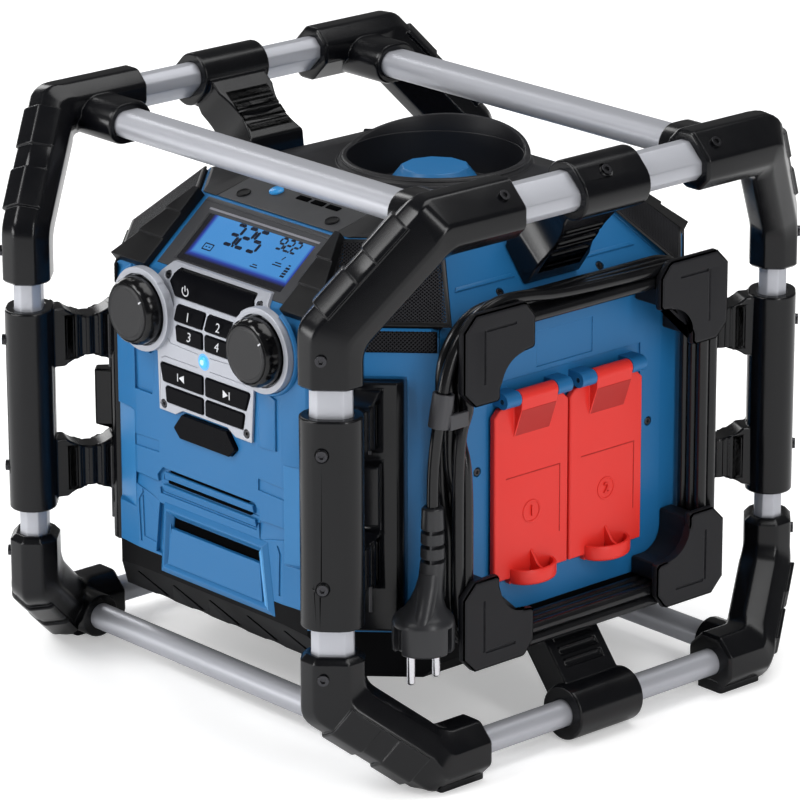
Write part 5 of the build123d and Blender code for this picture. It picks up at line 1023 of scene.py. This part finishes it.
def build_display():
    build_glass()
    figures = Shape()
    for text, u, v, step, size in (("325", -20.9, 1.2, 9.9, (7.4, 14.4, 2.3)),
                                   ("922", 18.8, 8.4, 6.2, (4.6, 7.7, 1.4))):
        for i, figure in enumerate(text):
            digit_bars(figure, u + i * step, v, *size, figures)
    for u, v, size in ((-12.4, 1.2, 1.8), (30.0, 8.3, 1.2)):
        bar_between(SCREEN_TOP, (u, v - size / 2), (u, v + size / 2), size, *INK, figures)
    for a, b in STROKES:
        bar_between(SCREEN_TOP, a, b, 0.75, *INK, figures)
    for u0, u1, v, thick in (*((37.0, 40.4, -7.4 + 1.9 * k, 1.3) for k in range(4)), (37.8, 39.6, 0.4, 0.9)):
        bar_between(SCREEN_TOP, (u0, v), (u1, v), thick, *INK, figures)
    figures.build("display_figures", DIGIT)
    softened("display_bezel", GREY, bevel=0.5)
    brow = plate(SCREEN_PLANE, [(-56.5, 23.4), (56.5, 23.4), (55.8, 26.4), (-55.8, 26.4)], -0.6, 0.7, 0.4)
    brow.build("display_brow", GREY, angle=30.0)
    lip = bar_between(SCREEN_PLANE, (-48.5, 19.4), (48.5, 19.4), 1.5, 0.0, 0.5, Shape())
    lip.build("display_lip", LIP_GREY, bevel=0.15)


build_display()

# -------- front relief

SIDE_PANELS = (([(44.5, 151.8), (67, 151.2), (67, 158.2), (44.5, 158.8)], 0.9, 0.9),
               ([(52, 124), (78, 129.8), (78, 133.6), (62, 134.6), (44, 134), (45.5, 121.8)], 0.2, 2.2),
               ([(63.2, 92.5), (64.6, 118), (61.5, 122.5), (60.2, 122.5), (62.4, 118), (61.4, 92.5)], 0.8, 0.8))
MIDDLE_PANELS = (([(-60, 96), (-48.5, 95), (-46.5, 112), (-61, 126)], 0.7, 0.7),
                 ([(-43.4, 127), (42.6, 127), (46.4, 138), (41, 143.4), (-41.5, 143.4), (-46.6, 138)], 1.2, 2.6),
                 (block_outline(33.5, 43.4, 107.7, 113.4), 3.2, 3.2))
BAND_SLOPE = 8.0 / 26.0                 # how fast the corner bands fall back
ON_FRONT = dict(replaces=["front_housing"])


def wedge_cut(outline, low_edge_depth, high_edge_depth, cuts):
    """A sunk panel in the front face whose floor slopes from its foot to its top."""
    heights = [z for _, z in outline]
    z0, rise = min(heights), max(heights) - min(heights)
    slope = (high_edge_depth - low_edge_depth) / rise
    cuts.loft([[FRONT.point(x, z, -low_edge_depth - slope * (z - z0)) for x, z in outline],
               FRONT.ring(outline, 3.0)])


def front_cuts():
    """The sunk panels, the louvre's and port's hollows and the corner bands."""
    cuts = Shape()
    wedge_cut([(-66, 186), (-50, 186), (-47.2, 196), (-47.2, 221), (-66, 221)], 1.8, 1.2, cuts)
    for outline, low, high in SIDE_PANELS:
        wedge_cut(outline, low, high, cuts)
        wedge_cut([(-x, z) for x, z in reversed(outline)], low, high, cuts)
    for sx in (1, -1):
        face = [(sx * 66.0, 112.5), (sx * 92.0, 112.5), (sx * 92.0, 173.0), (sx * 66.0, 173.0)]
        sunk = [FRONT.point(*spot, w) for spot, w in zip(face, (0.0, -8.0, -8.0, 0.0))]
        cuts.loft([sunk, FRONT.ring(face, 6.0)])
    for panel in MIDDLE_PANELS:
        wedge_cut(*panel, cuts)
    return cuts


def lifted(outline, base, heights):
    """A block on the front whose top has its own height at each corner."""
    return Shape().loft([FRONT.ring(outline, base), [FRONT.point(*p, w) for p, w in zip(outline, heights)]])


def build_port():
    """The port's sloped surround, its flap and the reveal at its right end, which carries a painted highlight."""
    frame_out = [(-44.5, 78.6), (58.5, 78.6), (52.5, 122.5), (-40.5, 122.5)]
    frame_mid = [(-41.0, 81.8), (54.5, 81.8), (49.6, 119.4), (-37.8, 119.4)]
    frame_in = [(-36.5, 87.0), (47.6, 87.0), (43.6, 114.6), (-33.6, 114.6)]
    port = Shape().loft([FRONT.ring(frame_out, -0.6), FRONT.ring(frame_out, 0.1), FRONT.ring(frame_mid, 2.0),
                         FRONT.ring(inset(frame_mid, 0.9), 2.1), FRONT.ring(frame_in, -1.6),
                         FRONT.ring(frame_in, -2.4)], close_ends=False)
    port.build("port_surround", BLUE, bevel=0.35, angle=20.0, **ON_FRONT)
    flap = lifted([(-37.4, 85.0), (48.4, 85.0), (45.2, 107.6), (-34.4, 107.6)], -3.0, (1.2, 1.2, 0.2, 0.2))
    flap.build("port_flap", BLUE, bevel=0.5, **ON_FRONT)
    reveal = lifted([(50.2, 83.0), (54.6, 82.0), (49.7, 119.2), (44.2, 114.2)], -1.4, (1.0, 2.25, 2.25, -0.2))
    reveal.build("port_reveal", BLUE_PAINTED_HIGHLIGHT, bevel=0.2, **ON_FRONT)


def build_front():
    """The front moulding with its sunk panels, louvre and port."""
    softened("front_housing", BLUE, cuts=front_cuts(), angle=13.0)
    # A lighter blue skin on the sloped corner faces: painted light on those facets.
    band = Shape()
    near, far = 66.8, 87.4
    for sx in (1, -1):
        strip = [(sx * near, 113.4), (sx * far, 113.4), (sx * far, 172.2), (sx * near, 172.2)]
        band.loft([[FRONT.point(u, v, lift - BAND_SLOPE * (abs(u) - 66.0)) for u, v in strip]
                   for lift in (-0.5, 0.14)])
    band.build("front_corner_bands", BLUE_BAND_PAINTED_LIGHT, **ON_FRONT)
    bars = Shape()
    for z, reach in ((129.2, 41.5), (137.2, 39.5)):
        section = [(-2.8, z - 1.4), (-0.6, z - 0.6), (0.35, z + 3.2), (0.0, z + 3.9), (-1.0, z + 4.1), (-2.8, z + 2.0)]
        bars.loft([[FRONT.point(x, v, w) for w, v in section] for x in (-reach, reach)])
    bars.build("louvre_bars", BLUE, bevel=0.25, **ON_FRONT)
    build_port()
    # Near-black strips between the louvre bars and a near-black plate in the port: painted shade in those hollows.
    shadow = Shape()
    for z, reach in ((135.4, 37.0), (142.6, 35.0)):
        bar_between(FRONT, (-reach, z), (reach, z), 1.7, -3.0, -0.5, shadow)
    shadow.build("louvre_painted_shade", SHADOW, **ON_FRONT)
    plate(FRONT, block_outline(-34.2, 44.8, 102.9, 113.6), -3.4, -2.2, 0.2).build("port_throat_painted_shade", SHADOW, **ON_FRONT)
    boss = plate(FRONT, [(46.6, 178.2), (61.5, 179.2), (61.5, 210.0), (56, 212.0), (47.6, 212.0)], -0.4, 1.5, 1.2)
    boss.build("plate_boss", BLUE, angle=30.0, **ON_FRONT)


def build_skirt():
    """The tray with slanted grooves in its skirt and scallops along its upper edge."""
    cuts = Shape()
    for x in (-75, -42, -9, 25, 58):
        outline = [(x, 24.0), (x + 12.0, 4.0), (x + 16.5, 5.5), (x + 3.0, 25.0)]
        cuts.loft([SKIRT.ring(outline, -1.8), SKIRT.ring(outline, 4.0)])
    for i in range(5):
        drill(cuts, (-67 + 33.5 * i, 44.0), 15.5, -140.0, -124.0, 24, 7.4)
    softened("base_tray", TRAY_PAINTED_SHADE, cuts=cuts)


build_front()
build_skirt()

# -------- speaker mesh and guards

ROOF = Pose((97.8, -97.8, 276.5), (1, 1, 0), (-36.1, 36.1, 41.0))
EAVE = Pose((110.5, -121.5, 255.6), (1, 1, 0), Z)
MESH_PITCH, MESH_HOLE, MESH_DEEP = 2.3, 0.82, 0.8
MESH_REACH = 52                         # cells to each side of the middle
DIAMOND = ((1, 0), (0, 1), (-1, 0), (0, -1))


def inside_outline(outline, u, v):
    return all((b[0] - a[0]) * (v - a[1]) - (b[1] - a[1]) * (u - a[0]) > 0
               for a, b in zip(outline, outline[1:] + outline[:1]))


def perforated(pose, outline, low, shape):
    """A sheet of diamond cells with open holes, trimmed to an outline."""
    half = MESH_PITCH / 2
    grid, points, faces = {}, [], []

    def corner(i, j):
        if (i, j) not in grid:
            grid[i, j] = len(points)
            points.append(pose.point(i * half, j * half, low + MESH_DEEP))
        return grid[i, j]

    for i in range(-MESH_REACH, MESH_REACH):
        for j in range(-MESH_REACH, MESH_REACH):
            u, v = i * half, j * half
            if (i + j) % 2 or not inside_outline(outline, u, v):
                continue
            outer = [corner(i + a, j + b) for a, b in DIAMOND]
            first = len(points)
            points += [pose.point(u + a * MESH_HOLE, v + b * MESH_HOLE, deep)
                       for deep in (low + MESH_DEEP, low) for a, b in DIAMOND]
            for k in range(4):
                n = (k + 1) % 4
                faces.append((outer[k], outer[n], first + n, first + k))
                faces.append((first + k, first + n, first + 4 + n, first + 4 + k))
    shape.add(points, faces)


def build_grilles():
    """The perforated sheets on the corner roofs and under the eaves, with their rims and backings."""
    outline = [(-36.8, -30.8), (36.8, -30.8), (30.0, 28.1), (-30.0, 28.1)]
    sheet = Shape()
    perforated(ROOF, inset(outline, 2.6), 1.7, sheet)
    perforated(EAVE, block_outline(-35.6, 35.6, -11.2, 0.2), 0.5, sheet)
    backing = plate(EAVE, block_outline(-36.4, 36.4, -12.0, 0.4), -0.6, 0.45, 0.2)
    copies(backing, "eave_backing", CONE)
    steps = ((0.0, 1.2), (0.5, 2.3), (1.2, 2.6), (2.8, 2.5), (2.8, 1.5))
    rim = Shape().loft([ROOF.ring(inset(outline, amount), height) for amount, height in steps], close_ends=False)
    for corner, flip in QUARTERS.items():
        name = f"speaker_mesh_{corner}"
        keep_object(sheet.mirrored(*flip).mesh(name, face_out=False), name, MESH).data.shade_flat()
    copies(rim, "speaker_rim", GUARD, slot="grille_mesh")
    softened("speaker_grilles", CONE, "speaker_mesh_backing")
    softened("corner_guards", GUARD, bevel=0.5)


build_grilles()

# -------- crown and hatch

HATCH = Pose((0.0, -81.5, 299.3), X, (0, 37.0, 9.0))


def build_crown():
    softened("crown_cover", CROWN, bevel=0.8)
    softened("crown_hub", BLUE, "crown_hub_faceted", bevel=0.6)
    turns = [2 * pi * i / 96 for i in range(96)]
    rises = [0.7 + 11.0 * max(0.0, cos(a - radians(120))) ** 1.2 for a in turns]
    rings = []
    for radius, part in ((56.4, 0.0), (56.2, 0.7), (55.6, 1.0), (53.4, 1.0), (52.7, 0.8), (52.3, 0.0)):
        rings.append([(radius * cos(a), 26.0 + radius * sin(a), 306.5 + part * rise) for a, rise in zip(turns, rises)])
    arch = Shape().loft(rings, close_ends=False)
    arch.build("crown_arch", CROWN, replaces=["crown_cover"], angle=40.0)
    softened("top_hatch", GREY, bevel=0.6)
    wells, slots = Shape(), Shape()
    for sx in (1, -1):
        lathe(HATCH.moved(sx * 39.0, -7.0), [(4.4, -0.5), (4.4, 0.7), (3.9, 1.0), (3.5, 0.4)], 28, wells)
    wells.build("hatch_screw_wells", BLACK_SHELL)
    button = lathe(HATCH.moved(-22.0, 4.0), [(4.4, -0.5), (4.4, 0.9), (3.6, 1.6), (0.0, 1.8)], 28)
    button.build("hatch_button", BUTTON_BLUE, angle=40.0)
    # Near-black patches on the hatch: painted shade standing in for its slots.
    for u in (-4.0, 9.0, 22.0):
        plate(HATCH, block_outline(u, u + 10.0, 3.0, 7.0), -0.4, 0.5, 0.2, slots)
    slots.build("hatch_slot_painted_shade", SHADOW)


build_crown()

# -------- outlets

COVER_FACE_X = 143.1
RING_Z = 136.5


def scoop(name, pose):
    """The cupped finger tab at a cover's foot, with the fin that stiffens it."""
    cups = ((15.4, 10.6, 96.0), (16.4, 11.6, 96.8), (16.8, 12.0, 98.0), (16.8, 12.0, 104.2), (16.4, 11.6, 105.0),
            (15.0, 10.2, 105.0), (14.5, 9.7, 104.2), (14.2, 9.4, 98.8))
    arc = [pi * i / 24 for i in range(25)]
    tab = Shape().loft([[pose.point(half * cos(a), z, -0.4 + (out + 0.4) * sin(a)) for a in arc]
                        for half, out, z in cups])
    tab.build(f"{name}_tab", RED, name, [name], angle=40.0)
    side_view = [(-0.4, 98.4), (9.9, 98.4), (10.0, 104.4), (6.0, 105.6), (-0.4, 114.0)]
    fin = Shape().loft([[pose.point(u, z, h) for h, z in side_view] for u in (-0.9, 0.9)])
    fin.build(f"{name}_fin", RED, name, [name], bevel=0.3)


def cover(name, middle, mark):
    """A red flap with its panel line and ramp in painted shade, ring mark, figure and scooped tab."""
    pose = side_pose(COVER_FACE_X, middle)
    cuts = plate(pose, block_outline(-20.0, 20.0, 90.0, 112.0), 0.05, 20.0, 0.0)
    softened(name, RED, body=name, bevel=0.35, cuts=cuts, carve_first=True)
    # The panel line: low bars in darker red, painted shade of the line's groove.
    lines = Shape()
    for a, b in (((-20.0, 160.0), (22.0, 160.0)), ((22.0, 160.3), (22.0, 119.0))):
        bar_between(pose, a, b, 0.5, -0.2, 0.25, lines)
    lines.build(f"{name}_lines", RED_PAINTED_SHADE, name)
    # The ramp: a darker red sheet laid over the wedge, painted shade where it tilts down.
    (low_x, low_z), (high_x, high_z), side = (COVER_FACE_X, 184.6), (149.0, 201.2), 13.2
    ramp = Shape().loft([[(low_x + lift, middle - side, low_z), (low_x + lift, middle + side, low_z),
                          (high_x + lift, middle + side, high_z), (high_x + lift, middle - side, high_z)]
                         for lift in (-0.6, 0.22)])
    ramp.build(f"{name}_ramp", RED_PAINTED_SHADE, name)
    scoop(name, pose)
    ring = lathe(pose.moved(0.0, RING_Z), [(6.9, -0.3), (6.9, 0.35), (6.6, 0.5), (6.1, 0.5), (5.8, 0.35), (5.8, -0.3)])
    ring.build(f"{name}_ring", RED, name, angle=35.0)
    lettering(mark, f"{name}_mark", pose, (0.0, RING_Z), 9.0, RED, name, 1.0)


cover("outlet_cover_a", -29.5, "1")
cover("outlet_cover_b", 29.5, "2")

# -------- cord hooks, clip and plug

HOOK_FACE_X = 167.0
PLUG_AT = Vector((153.0, -121.5, 0.0))
PLUG_TOP = Vector(TAIL[-1])
PLUG_LEAN = Vector((PLUG_TOP.x, PLUG_TOP.y, 0.0)) - PLUG_AT     # from the plug's middle to the cord
SPINE_WAY = Vector((0.70, -0.71, 0.0))
PLUG_RINGS = ((0.0, 16.6, 79.2), (0.0, 17.6, 80.2), (0.0, 17.8, 84.0), (0.0, 17.8, 95.5), (0.0, 17.2, 98.0),
              (0.05, 15.2, 100.2), (0.15, 12.2, 103.0), (0.35, 9.6, 108.0), (0.6, 8.0, 114.0), (0.85, 7.2, 121.0),
              (1.0, 7.0, 130.0), (1.0, 6.6, 150.0), (1.0, 6.2, PLUG_TOP.z - 0.8), (1.0, 5.4, PLUG_TOP.z))
SPINE_RINGS = ((0.75, 0.4, 124.0, 6.4), (0.6, 2.2, 117.0, 6.2), (0.4, 5.0, 110.0, 5.8), (0.2, 8.6, 104.0, 5.4),
               (0.0, 11.2, 99.0, 5.2), (0.0, 12.2, 94.0, 5.0), (0.0, 12.4, 84.0, 5.0), (0.0, 12.0, 80.6, 4.6))


def hook_cuts():
    """The L-shaped grooves and the round hollow sunk in each hook's face."""
    cuts = Shape()
    pose = side_pose(HOOK_FACE_X, 0)
    for sy in (1, -1):
        for z0, z1, corner_z in ((231.0, 262.0, 262.0), (72.0, 103.0, 72.0)):
            bar_between(pose, (sy * 88.0, z0), (sy * 88.0, z1), 1.7, -0.8, 1.0, cuts)
            bar_between(pose, (sy * 64.0, corner_z), (sy * 86.6, corner_z), 1.7, -0.8, 1.0, cuts)
    for sy in (1, -1):
        for z in (225.0, 109.0):
            cuts.loft([pose.ring(disc(19.0, 40, (sy * 56.5, z)), w) for w in (-5.8, 5.0)])
    return cuts


def round_at(middle, radius, z, count):
    """A level ring round a point."""
    return [(x, y, z) for x, y in disc(radius, count, middle)]


def slit(middle, turn, out, outline, low, cuts):
    """A cut into a round body, out from its middle in the direction of a turn in degrees."""
    away = Vector((cos(radians(turn)), sin(radians(turn)), 0))
    plate(Pose(middle + away * out, (-away.y, away.x, 0), Z), outline, low, 4.0, 0.0, cuts)


def build_plug():
    """The moulded plug: a round foot with notches, a spine that runs into the slotted relief."""
    body = Shape().loft([round_at(PLUG_AT + PLUG_LEAN * k, r, z, 48) for k, r, z in PLUG_RINGS])
    plug = body.build("plug_body_moulded", PLUG, replaces=["plug_body"], angle=40.0)
    cuts = Shape()
    for z in (130.0, 138.5, 147.0):
        for turn in (-115, 10):
            slit(Vector((PLUG_TOP.x, PLUG_TOP.y, z)), turn, 5.0, block_outline(-7.5, 7.5, 0.0, 2.4), -1.5, cuts)
    for turn, wide, deep in ((15, 2.2, 3.4), (-100, 4.5, 4.5)):
        slit(PLUG_AT, turn, 17.8, block_outline(-wide, wide, 75.0, 95.0), -deep, cuts)
    carve(plug, cuts)
    shade(plug, 40.0)
    spine = Shape().loft([round_at(PLUG_AT + PLUG_LEAN * k + SPINE_WAY * out, r, z, 24)
                          for k, out, z, r in SPINE_RINGS])
    spine.build("plug_body_spine", PLUG, replaces=["plug_body"], angle=50.0)


def build_cord_fittings():
    softened("cord_hooks", HOOK, bevel=1.4, cuts=hook_cuts())
    softened("cord_clip", CLIP, bevel=0.6)
    softened("cord_gland", RUBBER, bevel=0.4)
    build_plug()
    softened("plug_pins", PIN, "plug_pins_turned", bevel=0.8, segments=3)


def build_side_ribs():
    """Raised bands on the hoods of both sides."""
    hood = Pose((138.5, 0, 250.0), Y, (-36.5, 0, 45.0))
    ribs = Shape()
    for v, low, high in ((6.0, -78.0, -24.0), (6.0, 24.0, 78.0), (26.0, -70.0, -24.0), (26.0, 24.0, 70.0)):
        plate(hood, [(low, v), (high, v), (high - 2.0, v + 2.6), (low + 2.0, v + 2.6)], -0.5, 0.9, 0.5, ribs)
    for name, sx in (("outlet_side_ribs", 1), ("media_side_ribs", -1)):
        ribs.mirrored(sx, 1).build(name, BLUE, angle=30.0)


build_cord_fittings()
build_side_ribs()

# -------- doors

for door in ("battery_door", "media_door"):
    softened(door, GREY, body=door, bevel=0.6)
    softened(f"{door}_latch", HOOK, body=f"{door}_latch", bevel=0.5)

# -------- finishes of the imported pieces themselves

PLAIN = {
    CAGE: ["post_brackets", "top_brackets", "bottom_brackets"],
    STEEL: ["cage_screws", "housing_screws", "hinge_pins"],
    BLUE: ["front_housing", "rear_housing", "right_panel", "left_panel", "crown_hub"],
    TRAY_PAINTED_SHADE: ["base_tray"],
    CROWN: ["crown_cover"],
    GUARD: ["corner_guards"],
    GREY: ["top_hatch", "display_bezel", "battery_door", "media_door"],
    HOOK: ["cord_hooks"],
    CLIP: ["cord_clip"],
    SCREEN: ["display_window"],
    SILVER: ["control_plate"],
    STATUS: ["status_lens"],
    KNOB_SKIRT: ["left_knob", "right_knob"],
    KEY: KEYS,
    RED: ["outlet_cover_a", "outlet_cover_b"],
    SOCKET: ["outlet_sockets"],
    RUBBER: ["cord_gland"],
    PLUG: ["plug_body", "battery_door_latch", "media_door_latch"],
    PIN: ["plug_pins"],
    INNER: ["main_board", "power_supply", "battery_pack", "encoders", "display_module"],
    DRIVER: ["speaker_baskets", "subwoofer_basket"],
    CONE: ["speaker_cones", "subwoofer_cone"],
    MESH: ["speaker_grilles"],
}

for finish, packed_names in PLAIN.items():
    for packed_name in packed_names:
        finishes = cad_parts[packed_name].data.materials
        finishes.clear()
        finishes.append(finish)

# -------- floor and light

FLOOR_HALF, FLOOR_LIFT = 6.0, 0.33      # metres; own light of the floor as the camera sees it
LIT_SPOT = Vector((0.0, 0.0, 0.16))     # where the lamps point, in metres


def add_floor():
    floor = bpy.data.meshes.new("floor")
    corners = block_outline(-FLOOR_HALF, FLOOR_HALF, -FLOOR_HALF, FLOOR_HALF)
    floor.from_pydata([(x, y, 0) for x, y in corners], [], [(0, 1, 2, 3)])
    obj = link("floor", floor)
    material, tree, shader = blank_material("pale_floor")
    pale = mixed(tree, noise(tree, 3.0), (0.93, 0.93, 0.93, 1.0), (0.96, 0.96, 0.96, 1.0))
    seen = node(tree, "LightPath").outputs["Is Camera Ray"]
    dress(tree, shader, {"Base Color": pale, "Emission Strength": maths(tree, "MULTIPLY", seen, FLOOR_LIFT),
                         "Roughness": 0.9, "Specular IOR Level": 0.1, "Emission Color": (1, 1, 1, 1)})
    floor.materials.append(material)


def add_world():
    """A white surround, dimmer as a light and dimmer still in reflections."""
    world = bpy.data.worlds.new("studio")
    bpy.context.scene.world = world
    world.use_nodes = True
    tree = world.node_tree
    tree.nodes.clear()
    path = node(tree, "LightPath").outputs
    seen = maths(tree, "MAXIMUM", path["Is Camera Ray"], path["Is Transmission Ray"])
    dim = maths(tree, "SUBTRACT", 0.42, maths(tree, "MULTIPLY", path["Is Glossy Ray"], 0.30))
    strength = maths(tree, "MAXIMUM", seen, dim)
    white = node(tree, "Background", {"Color": (1, 1, 1, 1), "Strength": strength})
    tree.links.new(white.outputs[0], node(tree, "OutputWorld").inputs[0])


def add_lamp(name, at, size, power):
    """A rectangular lamp turned to the middle of the radio."""
    data = bpy.data.lights.new(name, "AREA")
    data.shape, data.size, data.size_y = "RECTANGLE", *size
    data.energy = power
    lamp = link(name, data)
    lamp.location = at
    lamp.rotation_mode = "QUATERNION"
    lamp.rotation_quaternion = (Vector(at) - LIT_SPOT).to_track_quat("Z", "Y")


add_floor()
add_world()
add_lamp("key", (-0.6, -1.9, 2.1), (1.4, 0.9), 34.0)
add_lamp("right_strip", (2.2, -0.3, 1.0), (0.4, 1.8), 19.0)
add_lamp("low_fill", (-0.9, -2.3, 0.45), (1.6, 0.5), 23.0)
add_lamp("top", (0.4, 0.6, 2.4), (1.6, 1.6), 26.0)
add_lamp("left_rim", (-2.0, 0.4, 1.0), (0.5, 1.8), 12.0)

bpy.context.scene.view_settings.view_transform = "Standard"
